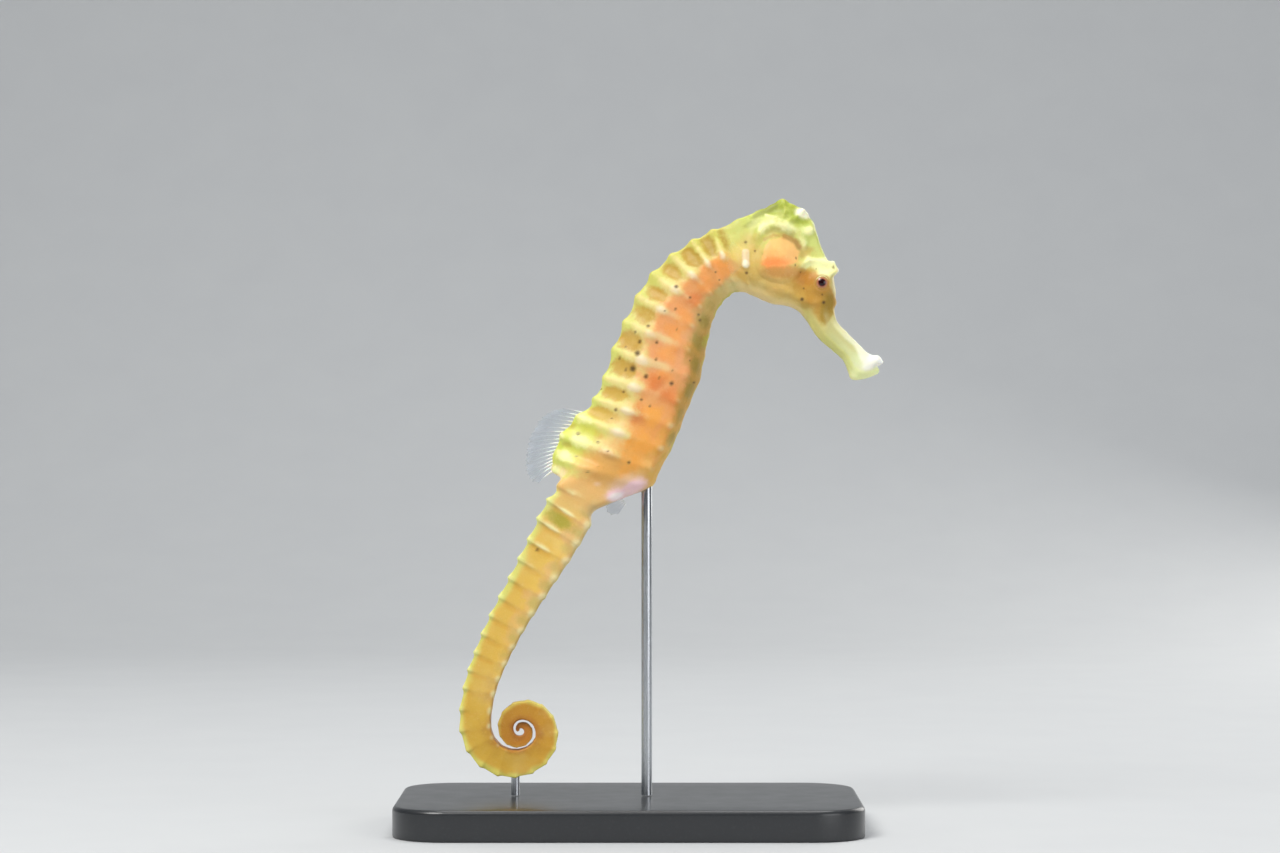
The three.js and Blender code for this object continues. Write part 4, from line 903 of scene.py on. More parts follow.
def skin_material():
    n = Nodes("seahorse_skin")
    u, t = n.attr("station"), n.attr("strip")

    def at(v):
        return v / 61.5

    def stops(*rows):
        return [(at(v), c) for v, c in rows]
    pos = n.math("ADD", n.math("DIVIDE", u, 61.5), n.rng(n.noise(700, 2), 0.3, 0.7, -0.004, 0.004, "LINEAR"))
    # colours along the body, for back, flank and belly
    back = n.ramp(pos, stops((0, "#F4F8F2"), (3, "#EFEFC6"), (6.3, "#E2D98E"), (7.4, "#B9A046"), (8.6, "#C2AC50"), (9.4, "#D9DC84"), (10.3, "#D2DA80"), (11.2, "#BCCB58"),
                             (12, "#CCD074"), (13, "#D6D06C"), (17, "#D2D272"), (20.5, "#DAE082"), (23, "#DDE572"), (24.6, "#DDE06E"), (25.4, "#EAE08C"),
                             (30, "#E9E284"), (36, "#E6DA78"), (44, "#E2CF68"), (52, "#D0A844"), (58, "#BC8434"), (61.5, "#AE6E2A")))
    flank = n.ramp(pos, stops((0, "#F7FAFA"), (2, "#EDF0CE"), (5, "#DFDCA0"), (6.8, "#CDB868"), (8.2, "#CBA14A"), (9.6, "#D6B35C"), (10.6, "#E0BC70"),
                              (11.6, "#D6B766"), (12.6, "#DDB45E"), (13.4, "#E8A25C"), (16, "#ECA468"), (19, "#EDA872"), (21.5, "#F0A458"), (23.4, "#F1B45C"),
                              (24.6, "#EBBC7A"), (25.6, "#E4BF76"), (28, "#E5BF5E"), (32, "#E3BC5B"), (37, "#DDB54C"), (42, "#D9AE42"), (46, "#D09C38"),
                              (52, "#C68E30"), (57, "#C08028"), (61.5, "#B87026")))
    belly = n.ramp(pos, stops((0, "#EBF2C0"), (3, "#DFE38C"), (6.5, "#D6D27C"), (9, "#E8CE88"), (11.5, "#E6D08E"), (13, "#D8C88C"), (15, "#CDB26C"),
                              (17, "#C59C50"), (20, "#CA9A3E"), (22, "#E0AA42"), (23.6, "#E6B24C"), (24.5, "#E3BE86"), (25.6, "#DDC690"), (30, "#DCC27C"),
                              (35, "#D2A85A"), (40, "#C58F3E"), (46, "#BC8232"), (52, "#B87828"), (61.5, "#AC6A24")))
    tw = n.math("ADD", t, n.rng(n.noise(380, 3, offset=(3, 1, 7)), 0.3, 0.7, -0.24, 0.24, "LINEAR"))
    trunk = n.math("MULTIPLY", n.rng(u, 12.2, 13.4), n.rng(u, 25.2, 24.2))
    tail = n.rng(u, 24.8, 25.8)
    # the flank's colour starts at the lateral ridge on the trunk, higher on head and tail
    upper = n.mixf(trunk, n.rng(tw, 1.2, 2.0), n.rng(tw, 1.55, 2.2))
    lower = n.mixf(tail, n.rng(tw, 2.7, 3.3), n.rng(tw, 2.6, 3.1))
    col = n.mix(upper, back, flank)
    col = n.mix(lower, col, belly)

    def over(col, mask, colour, strength=1.0, lo=0.0, hi=1.0, rough=0.0, scale=1500):
        v = n.attr(mask) if isinstance(mask, str) else mask
        if rough:
            v = n.math("ADD", v, n.rng(n.noise(scale, 3, offset=(lo * 9, hi * 5, rough * 7)), 0.3, 0.7, -rough, rough, "LINEAR"))
        return n.mix(n.rng(v, lo, hi, 0.0, strength), col, colour)

    # trunk
    strip = n.math("MULTIPLY", trunk, n.math("SUBTRACT", 1.0, n.math("MULTIPLY", upper, 1.0)))
    col = n.mix(n.math("MULTIPLY", strip, n.rng(tw, 1.15, 1.9, 0.0, 0.55)), col, "#E2C894")
    ochre = n.ramp(pos, stops((12, "#B0933A"), (14, "#BC9A3C"), (16, "#C8A044"), (19, "#C79E44"), (22, "#D9B658"), (24.5, "#E0BA66")))
    col = over(col, "panel", ochre, 0.95, 0.12, 0.75, 0.12)
    col = over(col, "olive", "#9C8A3A", 0.72, 0.1, 0.85, 0.14)
    col = over(col, "orange", "#F6A456", 0.85, 0.05, 0.95, 0.12)
    col = over(col, "coral", "#E2823F", 0.85, 0.05, 0.95, 0.12)
    col = over(col, "amber", "#FAAE4C", 0.9, 0.05, 0.95, 0.12)
    col = over(col, "flank_pale", "#EFD092", 0.6, 0.1, 0.9, 0.14)
    col = over(col, "cream", "#ECDC98", 0.9, 0.1, 0.9, 0.12, 2600)
    col = over(col, "flank_ring", "#EFCF98", 0.85, 0.1, 0.95, 0.12)
    col = over(col, "low_knob", "#E6D2A0", 0.7, 0.15, 0.9)
    # pale knobs with a painted highlight
    col = over(col, "pale_knob_and_painted_highlight", "#F3E2C6", 0.85, 0.12, 0.85, 0.1)
    keel = n.math("MULTIPLY", trunk, n.rng(tw, 3.7, 3.95))
    col = n.mix(n.math("MULTIPLY", keel, n.rng(u, 23.5, 21.0, 0.2, 0.75)), col, "#B8B344")
    # hump
    col = over(col, "hump", "#D8E062", 0.75, 0.1, 0.9, 0.1)
    col = over(col, "hip", "#E6AE60", 0.9, 0.1, 0.9, 0.12)
    col = over(col, "hip_pale", "#F6DEB4", 0.9, 0.1, 0.9, 0.12)
    # painted shade in the hump's hollows
    col = over(col, "hump_hollow_painted_shade", "#BFB142", 0.7, 0.1, 0.9, 0.1)
    # painted highlights on the hump's bumps
    col = over(col, "hump_painted_highlight", "#FCFDB6", 0.95, 0.15, 0.85, 0.16)
    # tail
    col = over(col, "tail_after", n.mix(n.rng(u, 30, 46), "#E2AE44", "#CC9834"), 0.5, 0.1, 1.0, 0.08)
    tan = n.math("MULTIPLY", tail, n.math("MULTIPLY", n.rng(tw, 2.55, 2.78), n.rng(tw, 3.0, 2.85)))
    col = n.mix(n.math("MULTIPLY", tan, n.rng(u, 36, 28, 0.0, 0.6)), col, "#E2B37C")
    inner = n.math("MULTIPLY", n.rng(u, 36, 42), n.rng(tw, 2.45, 3.0))
    col = n.mix(n.math("MULTIPLY", inner, 0.62), col, "#B5762A")
    col = over(col, "low_pale", "#E9DFB0", 0.7, 0.1, 0.9)
    # olive painted shade between the tail's lower bumps
    col = over(col, "low_olive_painted_shade", "#B4A658", 0.5, 0.05, 1.0, 0.12)
    col = over(col, "tail_edge", n.ramp(pos, stops((25, "#DDE48C"), (32, "#D8DE7A"), (40, "#E2DE78"), (48, "#DCD06C"), (56, "#BF9440"), (61.5, "#AE6E2A"))), 0.8, 0.05, 0.8)
    col = over(col, "tooth", "#EFF3AC", 0.7, 0.1, 0.9, 0.08)
    col = over(col, "tail_olive", "#A9A236", 0.85, 0.05, 0.95, 0.14)
    col = over(col, "crescent", "#FBF2BE", 0.9, 0.1, 0.9, 0.1)
    # head
    col = over(col, "cheek", "#C69238", 0.85, 0.1, 0.9, 0.1)
    # painted shade in the cheek hollow
    col = over(col, "cheek_hollow_painted_shade", "#BE7C26", 0.7, 0.1, 0.9)
    col = over(col, "bridge_olive", "#AA8A2E", 0.9, 0.1, 0.9, 0.1)
    col = over(col, "snout", n.ramp(pos, stops((0, "#F0F5DC"), (2.5, "#D6DDA8"), (4.5, "#C8CA90"), (7, "#D0C47E"))), 0.9, 0.2, 0.8)
    # painted shade in the snout's groove
    col = over(col, "snout_groove_painted_shade", "#C6BE84", 0.45, 0.1, 1.0)
    col = over(col, "snout_low", n.ramp(pos, stops((0, "#E9F0B0"), (3, "#D8DC8C"), (6, "#D6D086"), (8.4, "#D9CE88"))), 0.85, 0.1, 0.9)
    col = over(col, "snout_top", n.ramp(pos, stops((0, "#FAFDFA"), (3, "#F2F4DE"), (5, "#E8E6B8"), (7, "#DDD69A"))), 0.9, 0.1, 0.8)
    col = over(col, "throat", "#F0D69A", 0.8, 0.1, 0.9)
    col = over(col, "opercle_low", "#C68A48", 0.75, 0.1, 0.9, 0.1)
    col = over(col, "crown", n.mix(n.rng(n.noise(500, 3, offset=(9, 1, 2)), 0.42, 0.62), "#AAB642", "#D0DA74"), 0.85, 0.15, 0.9, 0.1)
    # painted shade in the crown's hollows
    col = over(col, "hollow", "#A9B448", 0.75, 0.15, 0.9, 0.1)
    # olive nape patch with painted shade along the top edge
    col = over(col, "nape_olive_and_painted_shade", "#8F9640", 0.8, 0.15, 0.9, 0.1)
    col = over(col, "crown_tip", "#FFFFE4", 1.0, 0.15, 0.8, 0.08)
    col = over(col, "above", "#E2E296", 0.5, 0.1, 0.9, 0.12)
    col = over(col, "behind", "#D6C070", 0.5, 0.1, 0.9, 0.1)
    # painted shade under the crest
    col = over(col, "under_crest_painted_shade", "#BCB066", 0.6, 0.1, 0.9, 0.1)
    col = over(col, "gold", "#C9AE5C", 0.75, 0.1, 0.9, 0.1)
    col = over(col, "crest", "#FBFBBE", 0.95, 0.1, 0.85, 0.12)
    col = over(col, "opercle", n.mix(n.rng(n.noise(330, 2), 0.4, 0.64), "#F9CE84", "#FBC078"), 0.95, 0.25, 0.8, 0.1)
    col = over(col, "opercle_core", "#FE9450", 0.92, 0.05, 1.0, 0.1)
    # painted shade in the groove round the gill cover
    col = over(col, "opercle_groove_painted_shade", "#AE7C42", 0.85, 0.1, 0.9, 0.08)
    col = over(col, "brow", "#FCFDBE", 0.97, 0.1, 0.9, 0.1)
    col = over(col, "brow_side", "#DCD08A", 0.85, 0.1, 0.9, 0.1)
    col = over(col, "spine", "#FCFBE0", 0.8, 0.1, 0.8)
    col = over(col, "nose", "#EFE2B4", 0.7, 0.1, 0.8)
    col = over(col, "bar_yellow", "#E0CA60", 0.6, 0.1, 0.9)
    col = over(col, "bar", "#EBD3B2", 0.9, 0.15, 0.7)
    col = over(col, "bar_bright", "#FFF8E2", 0.95, 0.15, 0.8)
    col = over(col, "eye_ring", "#C8925C", 0.4, 0.1, 0.9)
    col = over(col, "chin", "#F2FAC0", 0.85, 0.1, 0.9)
    col = over(col, "lips", "#F6FAF8", 0.95, 0.05, 0.9)
    # pink round the vent
    col = over(col, "vent_wide", "#F0CDB4", 0.7, 0.1, 0.9, 0.08)
    col = over(col, "vent", "#FFD8E6", 0.92, 0.05, 0.8, 0.1)
    col = over(col, "vent_white", "#FFF2F8", 0.85, 0.1, 0.9, 0.1)
    col = over(col, "vent_edge", "#8F7CA0", 0.85, 0.15, 0.8, 0.1)
    # freckles
    col = over(col, "spot", "#8A6228", 0.45, 0.02, 0.5)
    col = over(col, "spot", "#3A2410", 0.85, 0.3, 1.0)
    # skin grain: fine pale and dark mottling
    grain = n.noise(4800, 4, 0.6)
    col = n.mix(n.rng(grain, 0.56, 0.78, 0, 0.16, "LINEAR"), col, n.mix(0.6, col, "#FFFBE0"))
    col = n.mix(n.rng(grain, 0.44, 0.25, 0, 0.3, "LINEAR"), col, n.mix(0.4, col, "#8A6420"))
    cloud = n.noise(260, 3, 0.5, offset=(7, 7, 1))
    col = n.mix(n.rng(cloud, 0.52, 0.7, 0, 0.22, "LINEAR"), col, n.mix(0.5, col, "#FFF4B8"))
    # painted shade inside the mouth
    col = n.mix(n.rng(n.attr("mouth"), 0.0, 1.0), col, "#6A4238")
    # relief finer than the mesh: granules and pores
    fine = n.math("ADD", n.math("MULTIPLY", n.noise(6500, 3), 0.7), n.math("MULTIPLY", n.voronoi(3400), 0.45))
    col = n.mix(1.0, col, (1.0, 0.985, 0.90, 1.0), "MULTIPLY")
    n.link(n.bump(fine, 0.22, 0.00005), n.bsdf.inputs["Normal"])
    rough = n.rng(n.noise(1500, 3, offset=(2, 8, 2)), 0.3, 0.7, 0.42, 0.56, "LINEAR")
    return n.set(Base_Color=col, Roughness=rough, Subsurface_Weight=0.3, Subsurface_Radius=(1.0, 0.6, 0.28), Subsurface_Scale=0.0006,
                 Specular_IOR_Level=0.35, Coat_Weight=0.05, Coat_Roughness=0.2)


# ------------------------------------------------------------------ skin
V, quads, tris, UT, MASKS = make_skin()
if signed_volume(V, quads, tris) < 0:
    quads, tris = quads[:, ::-1], tris[:, ::-1]
vx_, vz_ = V[:, 0], V[:, 2]
near_vent = (UT[:, 0] > 22) & (UT[:, 0] < 26)


def oval(cx, cz, rx, rz, turn):
    c, s_ = math.cos(math.radians(turn)), math.sin(math.radians(turn))
    dx, dz = vx_ - cx, vz_ - cz
    return np.exp(-np.power(((dx * c + dz * s_) / rx) ** 2 + ((-dx * s_ + dz * c) / rz) ** 2, 1.3)) * near_vent


MASKS["vent"] = np.maximum(oval(0.6, 44.15, 1.9, 0.95, 28), oval(-1.5, 43.2, 1.5, 0.9, 15))
MASKS["vent_white"] = oval(-1.6, 43.0, 1.1, 0.6, 12)
MASKS["vent_wide"] = np.maximum(oval(-0.4, 44.3, 2.8, 1.5, 25), 0.7 * oval(-4.1, 44.6, 0.6, 0.4, 0))
MASKS["vent_edge"] = oval(0.75, 42.95, 1.1, 0.32, 20) * (np.abs(V[:, 1]) < 1.6)
skin = mesh_object("seahorse_skin", V, quads, tris)
bake_map(skin, V, quads, tris, UT)
attribute(skin, "station", UT[:, 0])
attribute(skin, "strip", UT[:, 1])
for key, values in MASKS.items():
    attribute(skin, key, values)
skin.data.materials.append(skin_material())
BODY_NODES = ["snout", "head", "coronet", "neck", "trunk_upper", "trunk_middle", "trunk_lower", "tail_base", "tail_middle",
              "tail_lower", "tail_bend", "tail_roll_outer", "tail_roll_inner", "tail_tip"]
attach(skin, "root")
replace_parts(skin, *BODY_NODES)


# ------------------------------------------------------------------ eyes
def eye_material():
    n = Nodes("seahorse_eye")
    r = n.attr("eye_r")  # distance from the gaze axis, in millimetres
    streak = n.new("ShaderNodeTexNoise")
    comb = n.new("ShaderNodeCombineXYZ")
    n.link(n.attr("eye_c"), comb.inputs[0])
    n.link(n.attr("eye_s"), comb.inputs[1])
    n.link(n.math("MULTIPLY", r, 0.35), comb.inputs[2])
    n.link(comb.outputs[0], streak.inputs["Vector"])
    streak.inputs["Scale"].default_value = 5.0
    streak.inputs["Detail"].default_value = 4.0
    jitter = n.rng(streak.outputs["Fac"], 0.3, 0.7, -0.012, 0.012, "LINEAR")
    rr = n.math("ADD", r, jitter)
    col = n.ramp(n.math("DIVIDE", rr, 1.3), [(0.0, "#2A080C"), (0.29, "#34090E"), (0.34, "#5E201E"), (0.395, "#94543E"), (0.47, "#B87E5A"), (0.60, "#BE8850"), (0.72, "#C89A58"), (1.0, "#CCA260")])
    col = n.mix(n.math("MULTIPLY", n.rng(streak.outputs["Fac"], 0.5, 0.75, 0, 0.3, "LINEAR"), n.rng(r, 0.6, 0.75)), col, n.mix(0.5, col, "#F6E0B8"))
    col = n.mix(n.rng(rr, 0.45, 0.36), col, "#220509")
    fine = n.noise(9000, 2)
    n.link(n.bump(fine, 0.04, 0.00002), n.bsdf.inputs["Normal"])
    return n.set(Base_Color=col, Roughness=n.rng(fine, 0.3, 0.7, 0.08, 0.14, "LINEAR"), Coat_Weight=0.3, Coat_Roughness=0.03, Specular_IOR_Level=0.25)


def lid_material():
    n = Nodes("seahorse_eyelid")
    f = n.noise(2600, 3)
    low = n.mix(n.rng(f, 0.35, 0.65), "#BE8A3C", "#C4923E")
    high = n.mix(n.rng(f, 0.35, 0.65), "#EBE0A0", "#E2D488")
    sep = n.new("ShaderNodeSeparateXYZ")
    n.link(n.co(), sep.inputs[0])
    col = n.mix(n.rng(sep.outputs[2], (EYE_Z + 0.1) * MM, (EYE_Z + 0.85) * MM), low, high)
    n.link(n.bump(n.noise(7000, 2), 0.3, 0.00004), n.bsdf.inputs["Normal"])
    return n.set(Base_Color=col, Roughness=0.38, Subsurface_Weight=0.3, Subsurface_Radius=(1.0, 0.6, 0.28), Subsurface_Scale=0.0006, Specular_IOR_Level=0.4)


def make_eye(side, name):
    rings, seg = 56, 72
    pts, faces, er, ec, es = [], [], [], [], []
    axis = Vector((-0.01, side, 0.02)).normalized()
    a = axis.orthogonal().normalized()
    b = axis.cross(a)
    for i in range(rings + 1):
        th = math.pi * i / rings
        for j in range(seg):
            ph = 2 * math.pi * j / seg
            rad = EYE_R * (1 + 0.02 * math.exp(-(th / 0.42) ** 2))  # the cornea bulges over the pupil
            d = axis * math.cos(th) + (a * math.cos(ph) + b * math.sin(ph)) * math.sin(th)
            pts.append((EYE_X + d.x * rad, side * EYE_Y + d.y * rad, EYE_Z + d.z * rad))
            er.append(EYE_R * (math.sin(th) if th < math.pi / 2 else 1.0))
            ec.append(math.cos(ph))
            es.append(math.sin(ph))
    for i in range(rings):
        for j in range(seg):
            p, q = i * seg + j, i * seg + (j + 1) % seg
            faces.append((p, q, q + seg, p + seg))
    # the rows at both ends have no width, so they become fans
    V_ = np.array(pts)
    keep = np.arange(len(V_))
    keep[:seg] = 0
    keep[-seg:] = rings * seg
    quads_, tris_ = [], []
    for f in faces:
        g = [keep[v] for v in f]
        u_ = list(dict.fromkeys(g))
        (quads_ if len(u_) == 4 else tris_).append(u_)
    used = np.unique(np.concatenate([np.ravel(quads_), np.ravel(tris_)]))
    back = np.zeros(len(V_), int)
    back[used] = np.arange(len(used))
    V_, quads_, tris_ = V_[used], back[np.array(quads_)], back[np.array(tris_)]
    if signed_volume(V_, quads_, tris_) < 0:
        quads_, tris_ = quads_[:, ::-1], tris_[:, ::-1]
    ob = mesh_object(name, V_, quads_, tris_)
    for key, values in (("eye_r", er), ("eye_c", ec), ("eye_s", es)):
        attribute(ob, key, np.array(values)[used])
    ob.data.materials.append(EYE_MAT)
    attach(ob, "root")
    # the lid: a soft ring of skin lying on the ball
    nm, nt_ = 72, 14
    vs, qs = [], []
    for i in range(nm):
        a_ = 2 * math.pi * i / nm
        rad = LID + 0.016 * math.sin(2 * a_ + 0.6) + 0.008 * math.sin(5 * a_)
        yy = EYE_Y + math.sqrt(EYE_R ** 2 - rad ** 2)
        for j in range(nt_):
            b_ = 2 * math.pi * j / nt_
            r_ = rad + 0.012 + (0.085 + 0.015 * math.sin(3 * a_ + 1)) * math.cos(b_)
            vs.append((EYE_X + r_ * math.cos(a_), side * (yy + 0.055 * math.sin(b_) - 0.085 * math.cos(b_)), EYE_Z + r_ * math.sin(a_)))
    for i in range(nm):
        for j in range(nt_):
            p, q = i * nt_ + j, ((i + 1) % nm) * nt_ + j
            p2, q2 = i * nt_ + (j + 1) % nt_, ((i + 1) % nm) * nt_ + (j + 1) % nt_
            qs.append((p, q, q2, p2))
    vs, qs = np.array(vs), np.array(qs)
    if signed_volume(vs, qs, np.zeros((0, 3), int)) < 0:
        qs = qs[:, ::-1]
    lid = mesh_object(name.replace("eyeball", "eyelid"), vs, qs, np.zeros((0, 3), int))
    lid.data.materials.append(LID_MAT)
    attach(lid, "root")
    return ob


LID_MAT = lid_material()
EYE_MAT = eye_material()
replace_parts(make_eye(1, "eyeball_left"), "eye_left")
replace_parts(make_eye(-1, "eyeball_right"), "eye_right")


# ------------------------------------------------------------------ fins
def fin_materials():
    n = Nodes("fin_membrane")
    along = n.attr("reach")
    tint = n.ramp(along, [(0.0, "#DDE3E6"), (0.3, "#B4BFCA"), (0.7, "#96A3B4"), (1.0, "#B6C1CE")])
    speck = n.rng(n.noise(3600, 4, 0.6), 0.55, 0.72)
    tint = n.mix(n.math("MULTIPLY", speck, 0.4), tint, "#5F6672")
    n.link(n.bump(n.noise(5200, 3), 0.25, 0.00004), n.bsdf.inputs["Normal"])
    membrane = n.set(Base_Color=tint, Roughness=0.35, Alpha=0.2, Specular_IOR_Level=0.4)
    r = Nodes("fin_ray")
    along = r.attr("reach")
    c = r.ramp(along, [(0.0, "#FEFDF6"), (0.4, "#F8FAFB"), (0.6, "#DCE2E8"), (1.0, "#C3CCD6")])
    c = r.mix(r.rng(r.noise(6000, 2), 0.5, 0.7, 0, 0.2, "LINEAR"), c, "#B9B4AE")
    r.link(r.bump(r.noise(9000, 2), 0.2, 0.00003), r.bsdf.inputs["Normal"])
    ray = r.set(Base_Color=c, Roughness=0.35, Specular_IOR_Level=0.5, Subsurface_Weight=0.2, Subsurface_Scale=0.0003)
    g = Nodes("fin_small_membrane")
    tint = g.mix(g.rng(g.noise(3600, 3), 0.4, 0.65), "#F4EDD2", "#E4DDC2")
    g.link(g.bump(g.noise(5200, 3), 0.2, 0.00003), g.bsdf.inputs["Normal"])
    faint = g.set(Base_Color=tint, Roughness=0.5, Alpha=0.04, Specular_IOR_Level=0.15)
    return membrane, ray, faint


MEMBRANE, RAY, FAINT = fin_materials()


def tube(points, radii, sides=7):
    """Vertices and quads of a closed tube along points."""
    P = np.array(points, float)
    T = np.gradient(P, axis=0)
    T /= np.linalg.norm(T, axis=1, keepdims=True)
    ref = np.array([0.0, 1.0, 0.0])
    verts = []
    for p, t, r in zip(P, T, radii):
        a = np.cross(t, ref)
        if np.linalg.norm(a) < 1e-6:
            a = np.cross(t, [1.0, 0, 0])
        a /= np.linalg.norm(a)
        b = np.cross(t, a)
        for k in range(sides):
            ph = 2 * math.pi * k / sides
            verts.append(p + (a * math.cos(ph) + b * math.sin(ph)) * r)
    q = []
    n = len(P)
    for i in range(n - 1):
        for k in range(sides):
            q.append((i * sides + k, i * sides + (k + 1) % sides, (i + 1) * sides + (k + 1) % sides, (i + 1) * sides + k))
    tr = []
    verts += [P[0], P[-1]]
    for k in range(sides):
        tr.append((len(verts) - 2, (k + 1) % sides, k))
        tr.append((len(verts) - 1, (n - 1) * sides + k, (n - 1) * sides + (k + 1) % sides))
    return np.array(verts), np.array(q), np.array(tr)


def fin(name, rays, thickness, ray_radius, replaces, sub=4, scallop=0.06, wave=0.0, root_length=1.1, film=None, root_radius=None, hems=0.0):
    """A membrane stretched over thin rays, with stout pale roots. Each ray is a row of points from root to tip."""
    film = film or MEMBRANE
    R = np.array(rays, float)  # (rays, steps, 3)
    nr, ns, _ = R.shape
    cols = []
    for i in range(nr - 1):
        for k in range(sub):
            f = k / sub
            row = R[i] * (1 - f) + R[i + 1] * f
            # the margin is drawn in between the ray tips
            pull = scallop * math.sin(math.pi * f) * (0.6 + 0.8 * float(hashed(i, 11)))
            s = np.linspace(0, 1, ns)[:, None]
            root = row[0]
            row = root + (row - root) * (1 - pull * s ** 3)
            cols.append(row)
    cols.append(R[-1])
    C = np.array(cols)  # (nc, ns, 3)
    nc = len(C)
    du = np.gradient(C, axis=0)
    dv = np.gradient(C, axis=1)
    N = np.cross(du, dv)
    N /= np.maximum(np.linalg.norm(N, axis=2, keepdims=True), 1e-9)
    if wave:
        ph = np.arange(nc)[:, None] / sub * math.pi
        s = np.linspace(0, 1, ns)[None, :]
        C = C + N * (wave * np.sin(ph) * s ** 1.5)[..., None]
    # the film is thickest along each ray
    ray_here = np.abs(np.cos(np.arange(nc) / sub * math.pi)) ** 6
    half = (thickness / 2) * np.linspace(1, 0.45, ns)[None, :] + ray_radius * ray_here[:, None] * np.linspace(0.8, 0.25, ns)[None, :]
    half = half[..., None]
    top, bottom = C + N * half, C - N * half
    Vv = np.concatenate([top.reshape(-1, 3), bottom.reshape(-1, 3)])
    off = nc * ns
    q = []
    for i in range(nc - 1):
        for j in range(ns - 1):
            a, b, c, d = i * ns + j, (i + 1) * ns + j, (i + 1) * ns + j + 1, i * ns + j + 1
            q.append((a, b, c, d))
            q.append((off + d, off + c, off + b, off + a))
    for i in range(nc - 1):
        a, b = i * ns, (i + 1) * ns
        q.append((b, a, off + a, off + b))
        a, b = i * ns + ns - 1, (i + 1) * ns + ns - 1
        q.append((a, b, off + b, off + a))
    for j in range(ns - 1):
        q.append((j, j + 1, off + j + 1, off + j))
        a = (nc - 1) * ns + j
        q.append((a + 1, a, off + a, off + a + 1))
    q = np.array(q)
    none = np.zeros((0, 3), int)
    if signed_volume(Vv, q, none) < 0:
        q = q[:, ::-1]
    mem = mesh_object(name + "_membrane", Vv, q, none)
    attribute(mem, "reach", np.tile(np.linspace(0, 1, ns), nc * 2))
    mem.data.materials.append(film)
    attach(mem, "root")
    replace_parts(mem, *replaces)
    if not root_length:
        return mem
    vs, qs, ts, rr, base = [], [], [], [], 0
    for i in range(nr):
        # a stout pale root that thins to a hair and runs on to the margin
        length = np.linalg.norm(R[i, -1] - R[i, 0])
        stout = root_length * (0.8 + 0.4 * float(hashed(i, 4)))
        steps = np.r_[np.linspace(0, min(0.9, stout / length), 7), np.linspace(min(0.9, stout / length), 0.97, 7)[1:]]
        path = np.stack([np.interp(steps, np.linspace(0, 1, ns), R[i][:, c]) for c in range(3)], 1)
        rad = np.interp(steps * length, [0, 0.5 * stout, stout, length], [1.0, 0.72, 0.17, 0.09]) * (root_radius or ray_radius)
        v, qq, tt = tube(path, rad)
        vs.append(v)
        qs.append(qq + base)
        ts.append(tt + base)
        rr += list(np.repeat(steps, 7)) + [0, 1]
        base += len(v)
    Vr, Qr, Tr = np.concatenate(vs), np.concatenate(qs), np.concatenate(ts)
    if signed_volume(Vr, Qr, Tr) < 0:
        Qr, Tr = Qr[:, ::-1], Tr[:, ::-1]
    ob = mesh_object(name + "_ray_roots", Vr, Qr, Tr)
    attribute(ob, "reach", rr)
    ob.data.materials.append(RAY)
    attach(ob, "root")
    return mem


def dorsal_rays():
    fan = curve([(0, 166), (0.35, 176), (0.75, 197), (1, 214)])
    reach = curve([(0, 0.55), (0.1, 0.86), (0.35, 1), (0.7, 0.92), (0.92, 0.68), (1, 0.45)])
    rays = []
    n = 17
    for i in range(n + 1):
        t = i / n
        u = 21.75 + (24.62 - 21.75) * t
        bx, bz, vx, vz = BX(u), BZ(u), VX(u), VZ(u)
        d = math.hypot(bx - vx, bz - vz)
        ux, uz = (bx - vx) / d, (bz - vz) / d
        foot = float(HUMP_AT(u)) * 0.92 - 0.55
        a, r = math.radians(float(fan(t))), 4.2 * float(reach(t)) + 0.55
        x0, z0 = bx + ux * foot, bz + uz * foot
        steps = []
        for s in np.linspace(0, 1, 12):
            bend = math.radians(7) * s * s * (1 if t > 0.25 else 0.2)
            # rays curve gently towards the tail and lean from side to side
            steps.append((x0 + r * s * math.cos(a + bend), 0.10 * math.sin(i * 1.7) * s * s, z0 + r * s * math.sin(a + bend)))
        rays.append(steps)
    return rays


fin("dorsal_fin", dorsal_rays(), 0.05, 0.045, ["dorsal_fin"], wave=0.05, scallop=0.05, root_length=1.75, root_radius=0.13)


def fan_rays(root, out, up, height, length, n, spread, steps=9, curl=0.0, bow=0.0, taper=0.35):
    """A small fan: rays start along a root line and spread in its plane. out and up are unit vectors of that plane."""
    o, uu = np.array(out, float), np.array(up, float)
    o /= np.linalg.norm(o)
    uu = uu - o * (uu @ o)
    uu /= np.linalg.norm(uu)
    nn = np.cross(o, uu)
    rays = []
    for i in range(n):
        t = i / (n - 1) - 0.5
        a = t * math.radians(spread)
        r = length * (1 - taper * abs(2 * t) ** 2.4)
        d = o * math.cos(a) + uu * math.sin(a)
        p0 = np.array(root) + uu * t * height
        rays.append([tuple(p0 + d * r * s + nn * (curl * s * s + bow * math.sin(i * 2.1) * s * s)) for s in np.linspace(0, 1, steps)])
    return rays


for side, name in ((1, "left"), (-1, "right")):
    splay, tilt = math.radians(22), math.radians(9)
    out = (-math.cos(splay), side * math.sin(splay), 0.02)
    up = (math.sin(tilt) * -0.3, 0, 1)
    fin("pectoral_fin_" + name, fan_rays((14.8, side * 2.72, 73.75), out, up, 1.7, 2.3, 16, 88, curl=-side * 0.3, bow=0.02, taper=0.1), 0.03, 0.02, ["pectoral_fin_" + name], sub=6, scallop=0.07, wave=0.02, root_length=0, film=FAINT)
ang = math.radians(212)
fin("anal_fin", fan_rays((-0.6, 0, 42.35), (math.cos(ang), 0, math.sin(ang)), (-math.sin(ang), 0, math.cos(ang)), 0.8, 2.7, 5, 42, bow=0.05), 0.05, 0.04, ["anal_fin"], sub=4, scallop=0.08, root_length=0.7, root_radius=0.05)


